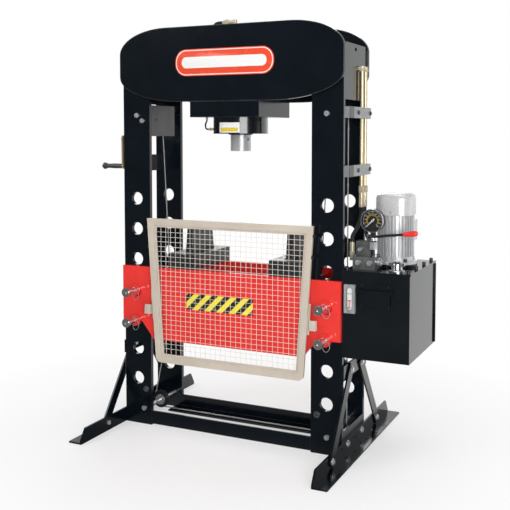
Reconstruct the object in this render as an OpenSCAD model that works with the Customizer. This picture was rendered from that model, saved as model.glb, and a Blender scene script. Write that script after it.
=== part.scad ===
// Workshop press: drilled column frame, hydraulic cylinder, pinned bed on a winch, mesh guard and power pack.
// Origin on the floor in the middle of the frame. X to the right, Y to the rear, Z up. Millimetres.

/* [Frame] */
// Depth over the outer faces of the uprights
frame_d = 320; // [300:5:340]
// Thickness of the upright plates
plate_t = 20; // [16:1:22]
// Middle of the press to the middle of a column
column_x = 500; // [490:5:520]
// Width of the upright plates
column_w = 150; // [144:2:156]
// Reach of the uprights up behind the head plates
upright_lap = 238; // [200:1:248]
// Diameter of the bed holes
hole_d = 62; // [60:0.5:64]
// Height of the lowest bed hole
hole_z = 231; // [226:1:236]
// Distance between bed holes
hole_pitch = 150; // [146:1:152]
// Bed holes in each upright
hole_count = 7; // [5:1:7]
// Bed hole that carries the upper bed pin, counted from zero
bed_hole = 3; // [3:1:3]

/* [Head] */
// Underside of the head plates
head_z = 1602; // [1590:1:1620]
// Height of the head plates
head_h = 355; // [340:5:370]
// Half width of the head plates
head_half = 583; // [580:1:600]
// Thickness of the head plates
head_t = 20; // [15:1:25]
// Width of the long upper corner
head_top_a = 258; // [200:2:300]
// Width of the long lower corner
head_low_a = 347; // [300:2:380]
// Height of the long corners
head_corner_b = 124; // [90:2:150]
// Thickness of the plates that close the column sides
side_t = 12; // [8:1:14]
// Height of the head side plates
head_side_h = 253; // [230:1:255]

/* [Cylinder] */
// Outer diameter of the barrel
barrel_d = 267; // [250:1:280]
// Bore of the barrel
bore_d = 200; // [180:1:210]
// Middle of the cylinder right of the middle of the frame
cylinder_x = -7; // [-20:1:20]
// Underside of the barrel below the head plates
barrel_drop = 152; // [142:1:162]
// Length of the barrel
barrel_l = 460; // [445:1:470]
// Width of the mounting block
block_w = 362; // [340:2:380]
// Depth of the mounting block below the head
block_d = 356; // [340:2:360]
// Height of the mounting block below the head
block_h = 74; // [60:1:80]
// Height of the block neck between the head plates
neck_h = 58; // [40:1:80]
// Diameter of the ram
ram_d = 98; // [80:1:104]
// Reach of the raised ram below the barrel
ram_out = 83; // [60:1:100]
// Height of the piston
piston_h = 70; // [50:1:80]
// Working stroke of the ram
stroke = 290; // [150:5:290]
// Height of the cylinder cap
cap_h = 40; // [30:1:45]
// Diameter of the cross hole in the ram nose
cross_d = 14; // [10:1:18]

/* [Feet and braces] */
// Length of the feet
foot_l = 1070; // [1000:10:1120]
// Leg of the foot angle
foot_leg = 70; // [60:1:80]
// Thickness of the foot angle
foot_t = 8; // [6:1:10]
// Floor anchor hole diameter
anchor_d = 14; // [12:1:18]
// Distance between the anchor holes of one foot
anchor_pitch = 182; // [160:2:200]
// Width of the braces
brace_w = 50; // [40:1:56]
// Thickness of the braces
brace_t = 8; // [6:1:10]
// Height of the upper brace plates
brace_plate_h = 64; // [56:1:80]
// Diameter of the frame bolts
bolt_d = 12; // [10:1:14]

/* [Bed] */
// Thickness of the bed plates
bed_t = 20; // [16:1:25]
// Bed top above the axis of the upper pins
bed_rise = 121.9; // [110:0.5:140]
// Depth of the middle of the bed below the axis of the lower pins
bed_belly = 85.6; // [60:0.5:100]
// Clearance between bed plates and uprights
bed_gap = 1; // [0.8:0.1:2]
// Diameter of the bed pins
pin_d = 56; // [54:0.5:58]
// Diameter of the pull rods
pull_d = 31; // [24:1:34]
// Diameter of the pull knobs
knob_d = 43; // [38:1:48]
// Reach of the pull rod and knob in front of the pin
pull_l = 86; // [60:1:100]
// Width of the V-blocks
vee_w = 150; // [120:2:160]
// Length of the V-blocks
vee_l = 366; // [364:2:400]
// Height of the V-block base
vee_base_h = 74; // [50:1:90]
// Height of the V-block rib above its base
vee_rib_h = 129; // [110:1:150]
// Thickness of the V-block rib
vee_rib_t = 35; // [25:1:45]
// Width of the notch in the rib
vee_notch_w = 57; // [40:1:80]

/* [Guard] */
// Height of the guard
guard_h = 703; // [680:1:730]
// Middle of the guard right of the middle of the frame
guard_x = 18; // [0:1:20]
// Half width of the guard at the top
guard_top = 433; // [425:1:440]
// Half width of the guard at the bottom
guard_low = 388; // [380:1:400]
// Width of the guard bars
guard_bar = 42; // [34:1:46]
// Width of the thin lip along the inside of the guard bars
guard_lip = 12; // [8:1:16]
// Thickness of the guard bars
guard_t = 16; // [12:1:20]
// Wire diameter of the mesh
wire_d = 2; // [1.6:0.1:3]
// Upright wires in the mesh
wires_x = 28; // [20:1:32]
// Level wires in the mesh
wires_z = 25; // [17:1:29]

/* [Winch and ropes] */
// Rope diameter
rope_d = 6; // [5:0.5:7]
// Rope radius round the upper pulleys
top_r = 45; // [40:1:48]
// Rope radius round the lower pulleys
low_r = 38; // [34:1:42]
// Upper pulley axles below the head plates
top_drop = 62; // [52:1:72]
// Height of the lower pulley axles
low_z = 81; // [76:1:90]
// Winch shaft below the head plates
winch_drop = 177; // [167:1:187]
// Winch shaft in front of the middle of the column
winch_y = 60; // [50:1:70]
// Radius of the crank
crank_r = 140; // [120:1:160]
// Length of the crank grip
crank_grip_l = 116; // [90:1:130]

/* [Power pack] */
// Width of the tank
tank_w = 303; // [295:1:330]
// Depth of the tank
tank_d = 450; // [430:2:480]
// Height of the tank
tank_h = 385; // [340:5:385]
// Wall of the tank
tank_wall = 4; // [3:0.5:6]
// Top of the tank below its lid
tank_top = 840; // [830:1:845]
// Thickness of the lid
lid_t = 8; // [5:1:10]
// Motor axis right of the tank's left wall
motor_x = 173; // [165:1:180]
// Motor axis behind the middle of the frame
motor_y = 74; // [60:1:90]
// Radius of the motor core
motor_r = 70; // [66:1:74]
// Radius over the cooling fins
fin_r = 84; // [80:1:88]
// Number of cooling fins
fin_count = 32; // [20:4:40]
// Diameter of the pressure gauge
gauge_d = 104; // [90:1:110]
// Pressure pipe diameter
pipe_d = 16; // [14:0.5:18]
// Hose diameter
hose_d = 18; // [16:0.5:20]

/* [Hidden] */
$fn = 48;
// Gap left between curved faces of pieces that move past each other
gap = 0.3;
// Radial clearance of a running shaft
run = 0.05;
// Radial clearance of a pushed-in spigot
push = 0.1;
// Overlap of joined solids and cutters
eps = 1;
// Frame faces
yo = frame_d / 2;
yi = yo - plate_t;
xi = column_x - column_w / 2;
xo = column_x + column_w / 2;
upright_h = head_z + upright_lap;
// Pins, bed and guard levels
slack = (hole_d - pin_d) / 2 - gap;
pin_up_z = hole_z + bed_hole * hole_pitch - slack;
pin_low_z = pin_up_z - hole_pitch;
bed_axis = pin_up_z - slack;
bed_low_axis = bed_axis - hole_pitch;
bed_top = bed_axis + bed_rise;
bed_bottom = bed_low_axis - bed_belly;
bed_y = yo + bed_gap;
bed_half = xo - 2;
bed_slope_x = xi - 30;
bed_end_x = xi + 38;
web_x = xi - 40;
web_t = 15;
lug_x = xi - 13;
lug_z0 = bed_axis - 155;
lug_z1 = bed_axis + 105;
lug_half = 12;
peg_x = guard_low + 42;
peg_z = bed_axis - 83;
peg_r = 6;
guard_drop = 338.6;
guard_z0 = bed_axis - guard_drop;
guard_z1 = guard_z0 + guard_h;
guard_y1 = -(bed_y + bed_t + 9);
guard_y0 = guard_y1 - guard_t;
guard_corner = 26;
lip_t = guard_t / 2;
ear_t = 6;
ear_half = 22;
ear_out = 18;
ear_strip = 9;
ear_lap = 12;
ear_low = 44;
ear_high = 98;
bumper_r = 7;
bumper_out = 9;
bumper_h = [guard_h - 45, guard_h - 140];
wire_pitch = 2 * (guard_top - guard_bar) / (wires_x + 1);
// Gap that keeps the two layers of wires apart
wire_gap = 0.02;
// Pin ends
pin_y0 = -(bed_y + bed_t + 5);
pin_y1 = bed_y + bed_t + 20;
pin_chamfer = 8;
knob_l = 18;
knob_edge = 3;
knob_hole = 5;
// Head
head_z1 = head_z + head_h;
slot_up = 229;
slot_z = head_z + slot_up;
port_z = head_z + 146;
port_y = [50, 100];
port_r = 9;
// Cylinder
barrel_z = head_z - barrel_drop;
ram_z = barrel_z - ram_out;
barrel_r = barrel_d / 2;
bore_r = bore_d / 2;
ram_r = ram_d / 2;
gland_h = 45;
barrel_top = barrel_z + barrel_l;
piston_z = barrel_z + gland_h + stroke + 7;
stud_r = 30;
cap_top = barrel_top + cap_h;
cap_spigot = 20;
cross_z = ram_z + 55;
cross_angle = 74;
cross_l = 30;
// Feet, plates and braces
anchor_x = xo + 38;
foot_out = xo + foot_leg;
foot_bolt_y = 100;
foot_bolt_z = 46;
brace_y0 = 74;
brace_z0 = 382;
brace_y1 = 320;
brace_z1 = foot_t + 32;
brace_end = 20;
base_plate_z0 = 8;
base_plate_z1 = 110;
tie_x = column_x - 45;
tie_z = 179;
bolt_r = bolt_d / 2;
hole_slack = 0.5;
nut_h = 10;
head_bolt_h = 8;
small_head = 6;
small_hex_r = 9;
hex_r = bolt_d * 0.95;
nut_r = 13;
tie_l = 26;
// Crossbars
bar_z0 = 7;
bar_leg = 100;
bar_lap = 26;
bar_h = 66;
bar_t = 8;
// Ropes and pulleys
top_z = head_z - top_drop;
winch_z = head_z - winch_drop;
rope_r = rope_d / 2;
top_x = column_x - 3;
low_left_x = -(column_x - 34);
low_right_x = top_x + top_r - low_r;
axle_r = 8;
pulley_half = 10;
collar_r = 24;
collar_t = 12;
rope_sides = 8;
drum_x = -(top_x + top_r);
drum_r = 36;
drum_core_r = 30;
drum_flange_r = 48;
drum_half = 21;
winch_cheek_t = 5;
cheek_half = 24;
cheek_out = drum_x + cheek_half + winch_cheek_t;
stop_r = 15;
flange_half = 2;
shaft_r = 10;
crank_x = -(xo + 74);
crank_t = 8;
crank_half = 14;
crank_pin_r = 6;
crank_grip_r = 12;
knob_r = 17;
bracket_z0 = winch_z - 167;
bracket_z1 = winch_z - 83;
cover_x = -(xi + 9);
cover_t = 3;
cover_z0 = top_z - 102;
cover_z1 = top_z + 50;
cover_y1 = 88;
cover_bolt_x = -(column_x - 34);
cover_bolt_z = top_z - 26;
cover_holes_z = [top_z - 20, top_z + 10];
cover_hole_y = -90;
cover_hole_r = 5;
// V-blocks
vee_left_x = -236;
vee_right_x = 300;
vee_low_half = 115;
vee_top_half = 96;
vee_rib_shift = [2, -2];
vee_z1 = bed_top + vee_base_h;
vee_z2 = vee_z1 + vee_rib_h;
// Tank and lid
tank_x0 = xo;
tank_x1 = xo + tank_w;
tank_y0 = -yo;
tank_y1 = tank_y0 + tank_d;
tank_z0 = tank_top - tank_h;
lid_z1 = tank_top + lid_t;
lid_edge = 13;
lid_bolt_r = 4;
lid_head = 13;
lid_hex_r = 8;
lid_over = 5;
sight_x = tank_x0 + 11;
sight_w = 50;
sight_d = 16;
sight_h = 127;
sight_z = tank_top - 180;
sight_r = 13;
sight_screw_r = 6;
handle_x0 = tank_x0 + 68;
handle_w = 162;
handle_x1 = handle_x0 + handle_w;
handle_z = tank_top - 76;
handle_y = tank_y0 - 12;
handle_drop = 62;
handle_ear = 9;
handle_gap = 2;
handle_rim = 12;
handle_half = 4;
handle_web = 2;
handle_back = 3;
handle_pin_r = 4;
breather_in = 231;
breather_x = tank_x0 + breather_in;
breather_y = -108;
breather_neck_r = 20;
neck_up = 32;
cap_wall = 4;
cap_rim_r = 35;
cap_rim_t = 7;
cap_top_h = 47;
cap_ear_w = 15;
cap_ear_z = 24;
cap_ear_h = 15;
cap_lift = 0.5;
// Motor
mx = tank_x0 + motor_x;
my = motor_y;
adapter_h = 14;
adapter_r = 98;
motor_z0 = lid_z1 + adapter_h;
flange_h = 33;
motor_z1 = motor_z0 + 221;
motor_bore = 58;
shield_t = 14;
motor_flange_r = fin_r - 3;
motor_flange_t = 12;
motor_bolt_r = (motor_flange_r + adapter_r) / 2;
motor_hex_r = 7;
motor_head = 12;
box_left = 28;
box_right = 66;
box_out = 62;
box_z0 = motor_z0 + 95;
box_z1 = motor_z0 + 190;
cowl_half = fin_r;
cowl_r = 58;
cowl_open = 60;
cowl_foot = 3;
cowl_round = 22;
cowl_slots = 24;
slot_in = 24;
slot_mid = 40;
slot_out = cowl_half - 24;
slot_half = 2;
fin_t = 3;
fin_l = motor_z1 - motor_z0 - flange_h;
box_lap = 8;
fan_blades = 7;
fan_t = 3;
rotor_inset = 40;
shaft_inset = 30;
shaft_dip = 20;
fan_z0 = motor_z1 + 12;
fan_h = 30;
fan_hub_r = 22;
fan_r = cowl_half - 10;
fan_z1 = motor_z1 + 97;
cowl_h = fan_z1 - motor_z1;
fan_wall = 2;
rotor_r = 50;
motor_shaft_r = 12;
lid_shaft_r = 32;
pump_r = 46;
pump_l = 150;
// Valve, lever and gauge
valve_x0 = tank_x0 + 30;
valve_x1 = tank_x0 + 131;
valve_y0 = -115;
valve_y1 = -25;
valve_z1 = lid_z1 + 57;
body_x1 = tank_x0 + 105;
body_y0 = -84;
body_y1 = -30;
body_z1 = lid_z1 + 122;
lever_x = tank_x0 + 92;
lever_y = -57;
lever_z = body_z1 + 18;
lever_tilt = 7;
lever_hub_r = 11;
lever_pin_r = 5;
lever_rod_r = 6;
lever_l = 154;
grip_l = 64;
grip_r = 13;
grip_neck_r = 9;
grip_end = 10;
fork_half = 8;
fork_t = 6;
fork_w = 12;
fork_mid = fork_half + fork_t / 2;
fork_out = fork_half + fork_t + 1;
plug_x = 24;
plug_l = 9;
plug_r = 13;
spool_l = 14;
spool_r = 19;
relief_l = 24;
relief_r = 9;
gauge_r = gauge_d / 2;
gauge_x = tank_x0 + 118;
gauge_z = lid_z1 + 219;
gauge_y0 = -120;
gauge_depth = 36;
gauge_rim = 6;
dial_y = gauge_y0 + 14;
arbor_r = 2;
stem_r = 8;
stem_y = gauge_y0 + 26;
stem_nut_z = valve_z1 + 34;
stem_nut_h = 38;
stem_nut_r = 17;
// Pipes and hoses
pipe_r = pipe_d / 2;
pipe_x = xo + 15;
sleeve_up = 264;
sleeve_z = lid_z1 + sleeve_up;
pipe_z0 = sleeve_z + 98;
pipe_z1 = port_z - 12;
clamp_zs = [port_z - 203, pipe_z0 + 75];
clamp_x = pipe_x + pipe_r + 0.3;
clamp_t = 4;
clamp_h = 50;
clamp_y0 = -yo + 4;
clamp_y1 = 146;
clamp_bolt_ys = [-38, 134];
hose_r = hose_d / 2;
hose_sides = 10;
elbow_x = xo + 13;
elbow_y = -70;
elbow_z = lid_z1 + 44;
elbow_l = 72;
elbow_r = hose_r + 2;
rear_port_x = tank_x0 + 75;
rear_port_z = lid_z1 + 32;
bleed_r = 4;
bleed_x = -barrel_r - 28;
bleed_y = -45;
bleed_drop = 56;
bleed_turn = 12;
bleed_end = bleed_x + bleed_turn;
bleed_seat = -sqrt(barrel_r * barrel_r - (bleed_y + bleed_r + 1) * (bleed_y + bleed_r + 1)) - run;
port_l = side_t + 16;
union_r = 11;
nipple_l = 24;
block_port_x = -block_w / 2 + 18;
block_port_z = 20;
cap_port_x = -30;
cap_port_z = 38;
cap_hose_x = -95;

// Colours
black = [0.07, 0.07, 0.08];
zinc = [0.72, 0.73, 0.74];
steel = [0.5, 0.5, 0.52];
chrome = [0.85, 0.86, 0.88];
red = [0.75, 0.1, 0.08];
beige = [0.82, 0.76, 0.62];
gold = [0.8, 0.62, 0.2];
grey = [0.6, 0.61, 0.63];
tan_paint = [0.72, 0.62, 0.45];
rubber = [0.05, 0.05, 0.05];
clear = [0.75, 0.85, 0.85, 0.5];

module box(x0, x1, y0, y1, z0, z1) {
    translate([x0, y0, z0])
        cube([x1 - x0, y1 - y0, z1 - z0]);
}

module rod_x(x0, x1, y, z, r) {
    translate([x0, y, z])
        rotate([0, 90, 0])
            cylinder(h = x1 - x0, r = r);
}

module rod_y(y0, y1, x, z, r) {
    translate([x, y0, z])
        rotate([-90, 0, 0])
            cylinder(h = y1 - y0, r = r);
}

module rod_z(z0, z1, x, y, r) {
    translate([x, y, z0])
        cylinder(h = z1 - z0, r = r);
}

module hex_x(x0, x1, y, z, r) {
    translate([x0, y, z])
        rotate([0, 90, 0])
            cylinder(h = x1 - x0, r = r, $fn = 6);
}

module hex_y(y0, y1, x, z, r) {
    translate([x, y0, z])
        rotate([-90, 0, 0])
            cylinder(h = y1 - y0, r = r, $fn = 6);
}

module hex_z(z0, z1, x, y, r) {
    translate([x, y, z0])
        cylinder(h = z1 - z0, r = r, $fn = 6);
}

// A flat shape drawn in X and Z, extruded from y0 to y1
module along_y(y0, y1) {
    translate([0, y1, 0])
        rotate([90, 0, 0])
            linear_extrude(y1 - y0)
                children();
}

// A flat shape drawn in Y and Z, extruded from x0 to x1
module along_x(x0, x1) {
    translate([x0, 0, 0])
        rotate([90, 0, 90])
            linear_extrude(x1 - x0)
                children();
}

module both_sides() {
    children();
    mirror([1, 0, 0])
        children();
}

module both_ends() {
    children();
    mirror([0, 1, 0])
        children();
}

// Round tube swept along a list of points; turn is a direction the route never follows
module swept(points, r, sides, turn) {
    n = len(points);
    dirs = [for (i = [0:n - 1])
        let (a = points[max(i - 1, 0)], b = points[min(i + 1, n - 1)])
        (b - a) / norm(b - a)];
    rings = [for (i = [0:n - 1])
        let (c = cross(turn, dirs[i]), u = c / norm(c), v = cross(dirs[i], u))
        for (j = [0:sides - 1])
        let (w = 360 * j / sides)
        points[i] + r * (cos(w) * u + sin(w) * v)];
    walls = [for (i = [0:n - 2])
        for (j = [0:sides - 1])
        let (k = (j + 1) % sides, p = i * sides, q = p + sides)
        for (t = [[p + j, q + j, q + k], [p + j, q + k, p + k]])
        t];
    start = [[for (j = [0:sides - 1]) j]];
    finish = [[for (j = [0:sides - 1]) (n - 1) * sides + sides - 1 - j]];
    polyhedron(points = rings, faces = concat(start, walls, finish));
}

// Smooth route through a list of points
function bend(p0, p1, p2, p3, t) =
    0.5 * (2 * p1 + (p2 - p0) * t + (2 * p0 - 5 * p1 + 4 * p2 - p3) * t * t
        + (3 * p1 - p0 - 3 * p2 + p3) * t * t * t);
function route(p, steps) =
    let (n = len(p))
    concat([for (i = [0:n - 2], s = [0:steps - 1])
        bend(p[max(i - 1, 0)], p[i], p[i + 1], p[min(i + 2, n - 1)], s / steps)], [p[n - 1]]);

// Points on an arc in the XZ plane
function arc_xz(x, z, r, a0, a1, steps) =
    [for (i = [0:steps]) let (a = a0 + (a1 - a0) * i / steps) [x + r * cos(a), 0, z + r * sin(a)]];

// Angle at which a straight rope from a point touches a pulley
function touch(x, z, r, px, pz, side) =
    atan2(pz - z, px - x) + side * acos(r / norm([px - x, pz - z]));

// Quarter ellipse in a flat outline
function corner(x, z, a, b, t0) =
    [for (i = [0:16]) let (t = t0 + 90 * i / 16) [x + a * cos(t), z + b * sin(t)]];

head_outline = concat(
    corner(head_half - head_top_a, head_z1 - head_corner_b, head_top_a, head_corner_b, 0),
    corner(head_top_a - head_half, head_z1 - head_corner_b, head_top_a, head_corner_b, 90),
    corner(head_low_a - head_half, head_z + head_corner_b, head_low_a, head_corner_b, 180),
    corner(head_half - head_low_a, head_z + head_corner_b, head_low_a, head_corner_b, 270));

// Axles as X, Z and the direction of the collar
axles = [[-top_x, top_z], [top_x, top_z], [low_left_x, low_z], [low_right_x, low_z]];

module upright(side, y0, front) {
    x = side * column_x;
    y1 = y0 + plate_t;
    difference() {
        box(x - column_w / 2, x + column_w / 2, y0, y1, 0, upright_h);
        for (k = [0:hole_count - 1])
            rod_y(y0 - eps, y1 + eps, x, hole_z + k * hole_pitch, hole_d / 2);
        for (a = axles)
            rod_y(y0 - eps, y1 + eps, a[0], a[1], axle_r + hole_slack);
        if (front) {
            rod_y(y0 - eps, y1 + eps, side * tie_x, tie_z, bolt_r + hole_slack);
            rod_y(y0 - eps, y1 + eps, cover_bolt_x, cover_bolt_z, bolt_r + hole_slack);
        }
    }
}

module front_uprights() {
    color(black) {
        upright(-1, -yo, true);
        upright(1, -yo, true);
    }
}

module rear_uprights() {
    color(black) {
        upright(-1, yi, false);
        upright(1, yi, false);
    }
}

module head_front_plate() {
    color(black)
        along_y(-yo - head_t, -yo)
            polygon(head_outline);
}

module head_rear_plate() {
    color(black)
        along_y(yo, yo + head_t)
            polygon(head_outline);
}

module head_side() {
    difference() {
        box(xo - side_t, xo, -yi, yi, head_z, head_z + head_side_h);
        box(xo - side_t - eps, xo + eps, -13, 13, slot_z - 7, slot_z + 7);
    }
}

module head_side_plates() {
    color(black) {
        difference() {
            head_side();
            for (y = port_y)
                rod_x(xo - side_t - eps, xo + eps, y, port_z, port_r + hole_slack);
        }
        mirror([1, 0, 0])
            head_side();
    }
}

module foot() {
    difference() {
        union() {
            along_x(xo, xo + foot_t)
                polygon([[-foot_l / 2, 0], [foot_l / 2, 0], [foot_l / 2, 15], [foot_l / 2 - 35, foot_leg],
                    [35 - foot_l / 2, foot_leg], [-foot_l / 2, 15]]);
            box(xo + foot_t / 2, foot_out, -foot_l / 2, foot_l / 2, 0, foot_t);
        }
        for (s = [-1, 1]) {
            rod_z(-eps, foot_t + eps, anchor_x, s * anchor_pitch / 2, anchor_d / 2);
            rod_x(xo - eps, xo + foot_t + eps, s * foot_bolt_y, foot_bolt_z, bolt_r + hole_slack);
            rod_x(xo - eps, xo + foot_t + eps, s * brace_y1, brace_z1, bolt_r + hole_slack);
        }
    }
}

module feet() {
    color(black)
        both_sides()
            foot();
}

module brace_plate() {
    difference() {
        box(xo, xo + foot_t, -yo, yo, brace_z0 - brace_plate_h / 2, brace_z0 + brace_plate_h / 2);
        for (s = [-1, 1])
            rod_x(xo - eps, xo + foot_t + eps, s * brace_y0, brace_z0, bolt_r + hole_slack);
    }
    difference() {
        box(xo - side_t, xo, -yi, yi, base_plate_z0, base_plate_z1);
        for (s = [-1, 1])
            rod_x(xo - side_t - eps, xo + eps, s * foot_bolt_y, foot_bolt_z, bolt_r + hole_slack);
    }
}

module brace_plates() {
    color(grey)
        both_sides()
            brace_plate();
}

module brace() {
    run_y = brace_y1 - brace_y0;
    run_z = brace_z0 - brace_z1;
    lean = atan2(run_z, run_y);
    length = norm([run_y, run_z]);
    translate([xo + foot_t, brace_y0, brace_z0])
        rotate([-lean, 0, 0])
            difference() {
                box(0, brace_t, -brace_end, length + brace_end, -brace_w / 2, brace_w / 2);
                rod_x(-eps, brace_t + eps, 0, 0, bolt_r + hole_slack);
                rod_x(-eps, brace_t + eps, length, 0, bolt_r + hole_slack);
            }
}

module braces() {
    color(black)
        both_sides()
            both_ends()
                brace();
}

module crossbars() {
    color(black) {
        box(-xi, xi, -yo, -yo + bar_t, bar_z0, bar_z0 + bar_h);
        along_x(-xi - bar_lap, xi + bar_lap)
            polygon([[yi - bar_leg, bar_z0], [yi, bar_z0], [yi, bar_z0 + bar_h], [yi - bar_t, bar_z0 + bar_h],
                [yi - bar_t, bar_z0 + bar_t], [yi - bar_leg, bar_z0 + bar_t]]);
    }
}

module bolt_out(x0, x1, y, z) {
    rod_x(x0 - nut_h, x1 + eps, y, z, bolt_r);
    hex_x(x0 - nut_h, x0, y, z, hex_r);
    hex_x(x1, x1 + head_bolt_h, y, z, hex_r);
}

module pulley_axle(x, z) {
    rod_y(-yo - eps, yo + nut_h, x, z, axle_r);
    rod_y(-yo - head_bolt_h, -yo, x, z, axle_r + 4);
    hex_y(yo, yo + nut_h, x, z, axle_r + 6);
    rod_y(-pulley_half - hole_slack - collar_t, -pulley_half - hole_slack, x, z, collar_r);
    rod_y(pulley_half + hole_slack, pulley_half + hole_slack + collar_t, x, z, axle_r + 7);
}

module lid_bolt(x, y) {
    rod_z(tank_top - 12, lid_z1 + eps, x, y, lid_bolt_r);
    hex_z(lid_z1, lid_z1 + lid_head, x, y, lid_hex_r);
}

lid_ys = [for (i = [0:3]) tank_y0 + 20 + i * (tank_d - 40) / 3];

module bolts() {
    color(zinc) {
        both_sides()
            both_ends() {
                bolt_out(xo, xo + foot_t + brace_t, brace_y0, brace_z0);
                bolt_out(xo, xo + foot_t + brace_t, brace_y1, brace_z1);
                bolt_out(xo - side_t, xo + foot_t, foot_bolt_y, foot_bolt_z);
            }
        both_sides() {
            rod_y(-yo - eps, -yi + tie_l, tie_x, tie_z, bolt_r);
            hex_y(-yo - head_bolt_h, -yo, tie_x, tie_z, hex_r);
            hex_y(-yi, -yi + nut_h, tie_x, tie_z, hex_r);
        }
        for (a = axles)
            pulley_axle(a[0], a[1]);
        rod_y(-yo - eps, -yi + cover_t + nut_h, cover_bolt_x, cover_bolt_z, bolt_r);
        rod_y(-yo - head_bolt_h, -yo, cover_bolt_x, cover_bolt_z, 11);
        hex_y(-yi + cover_t, -yi + cover_t + nut_h, cover_bolt_x, cover_bolt_z, hex_r);
        for (x = [tank_x0 + lid_edge, tank_x1 - lid_edge], y = lid_ys)
            lid_bolt(x, y);
        for (z = clamp_zs, y = clamp_bolt_ys)
            hex_x(clamp_x + clamp_t, clamp_x + clamp_t + small_head, y, z, small_hex_r);
        for (a = [45:90:315])
            hex_z(motor_z0 + motor_flange_t, motor_z0 + motor_flange_t + motor_head,
                mx + motor_bolt_r * cos(a), my + motor_bolt_r * sin(a), motor_hex_r);
        for (z = [sight_z + sight_screw_r + 2, sight_z + sight_h - sight_screw_r - 2])
            rod_y(tank_y0 - sight_d - small_head / 2, tank_y0 - sight_d, sight_x + sight_w / 2, z,
                sight_screw_r);
    }
}

module cylinder_block() {
    color(black)
        translate([cylinder_x, 0, 0])
            difference() {
                union() {
                    box(-block_w / 2, block_w / 2, -block_d / 2, block_d / 2, head_z - block_h, head_z);
                    box(-block_w / 2, block_w / 2, -yo, yo, head_z - eps, head_z + neck_h);
                }
                rod_z(head_z - block_h - eps, head_z + neck_h + eps, 0, 0, barrel_r + push);
            }
}

module cylinder_barrel() {
    color(black)
        difference() {
            rod_z(barrel_z, barrel_top, cylinder_x, 0, barrel_r);
            rod_z(barrel_z - eps, barrel_top + eps, cylinder_x, 0, bore_r);
        }
}

module cylinder_gland() {
    color(steel)
        difference() {
            rod_z(barrel_z, barrel_z + gland_h, cylinder_x, 0, bore_r - push);
            rod_z(barrel_z - eps, barrel_z + gland_h + eps, cylinder_x, 0, ram_r + run);
        }
}

module cylinder_cap() {
    color(black) {
        rod_z(barrel_top, cap_top, cylinder_x, 0, barrel_r);
        rod_z(barrel_top - cap_spigot, barrel_top + eps, cylinder_x, 0, bore_r - push);
    }
}

module ram() {
    color(chrome)
        translate([cylinder_x, 0, 0])
            difference() {
                union() {
                    rod_z(ram_z, piston_z, 0, 0, ram_r);
                    rod_z(piston_z - eps, piston_z + piston_h, 0, 0, stud_r);
                }
                rotate([0, 0, cross_angle])
                    rod_y(-ram_r - eps, -ram_r + cross_l, 0, cross_z, cross_d / 2);
            }
}

module piston() {
    color(steel)
        difference() {
            rod_z(piston_z, piston_z + piston_h, cylinder_x, 0, bore_r - run);
            rod_z(piston_z - eps, piston_z + piston_h + eps, cylinder_x, 0, stud_r + run);
        }
}

module winch_cheek(x0) {
    difference() {
        union() {
            box(x0, x0 + winch_cheek_t, -winch_y - 40, -winch_y + 40, bracket_z1, winch_z);
            rod_x(x0, x0 + winch_cheek_t, -winch_y, winch_z, 40);
        }
        rod_x(x0 - eps, x0 + winch_cheek_t + eps, -winch_y, winch_z, shaft_r + run);
    }
}

module winch_frame() {
    color(grey) {
        box(-xo, -xo + 6, -yi, yi, bracket_z0, bracket_z1);
        box(-xo, cheek_out, -winch_y - 50, -winch_y + 50, bracket_z1 - 8, bracket_z1);
        winch_cheek(drum_x - cheek_half - winch_cheek_t);
        winch_cheek(drum_x + cheek_half);
    }
}

module winch_drum() {
    color(steel) {
        rod_x(crank_x, cheek_out + 8, -winch_y, winch_z, shaft_r);
        rod_x(drum_x - drum_half, drum_x + drum_half, -winch_y, winch_z, drum_core_r);
        for (x = [drum_x - drum_half + flange_half, drum_x + drum_half - flange_half])
            rod_x(x - flange_half, x + flange_half, -winch_y, winch_z, drum_flange_r);
        rod_x(drum_x - drum_half + 5, drum_x + drum_half - 5, -winch_y, winch_z, drum_r);
        rod_x(cheek_out + 1, cheek_out + 6, -winch_y, winch_z, stop_r);
    }
}

module winch_crank() {
    color(tan_paint) {
        difference() {
            union() {
                box(crank_x, crank_x + crank_t, -winch_y - crank_half, -winch_y + crank_half,
                    winch_z - crank_r, winch_z);
                rod_x(crank_x, crank_x + crank_t, -winch_y, winch_z, crank_half + 3);
                rod_x(crank_x, crank_x + crank_t, -winch_y, winch_z - crank_r, crank_half);
            }
            rod_x(crank_x - eps, crank_x + crank_t + eps, -winch_y, winch_z, shaft_r + run);
        }
        rod_x(crank_x - crank_grip_l - 4, crank_x + eps, -winch_y, winch_z - crank_r, crank_pin_r);
        rod_x(crank_x - crank_grip_l - 8, crank_x - crank_grip_l - 4, -winch_y, winch_z - crank_r, 9);
    }
}

module winch_grip() {
    color(steel)
        translate([crank_x - 2, -winch_y, winch_z - crank_r])
            rotate([0, -90, 0])
                rotate_extrude()
                    polygon([[crank_pin_r + run, 0], [crank_grip_r, 0],
                        [crank_grip_r + 1, crank_grip_l * 0.4],
                        [crank_grip_r - 1, crank_grip_l * 0.75], [knob_r, crank_grip_l - 10],
                        [knob_r, crank_grip_l - 4], [knob_r - 4, crank_grip_l],
                        [crank_pin_r + run, crank_grip_l]]);
}

module pulley(x, z, r) {
    bottom = r - rope_r - gap;
    rim = r + 5;
    translate([x, -pulley_half, z])
        rotate([-90, 0, 0])
            rotate_extrude()
                polygon([[axle_r + run, 0], [rim, 0], [rim, pulley_half - 7], [bottom, pulley_half - 4.5],
                    [bottom, pulley_half + 4.5], [rim, pulley_half + 7], [rim, 2 * pulley_half],
                    [axle_r + run, 2 * pulley_half]]);
}

module pulley_top_left() {
    color(black)
        pulley(-top_x, top_z, top_r);
}

module pulley_top_right() {
    color(black)
        pulley(top_x, top_z, top_r);
}

module pulley_low_left() {
    color(black)
        pulley(low_left_x, low_z, low_r);
}

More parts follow.
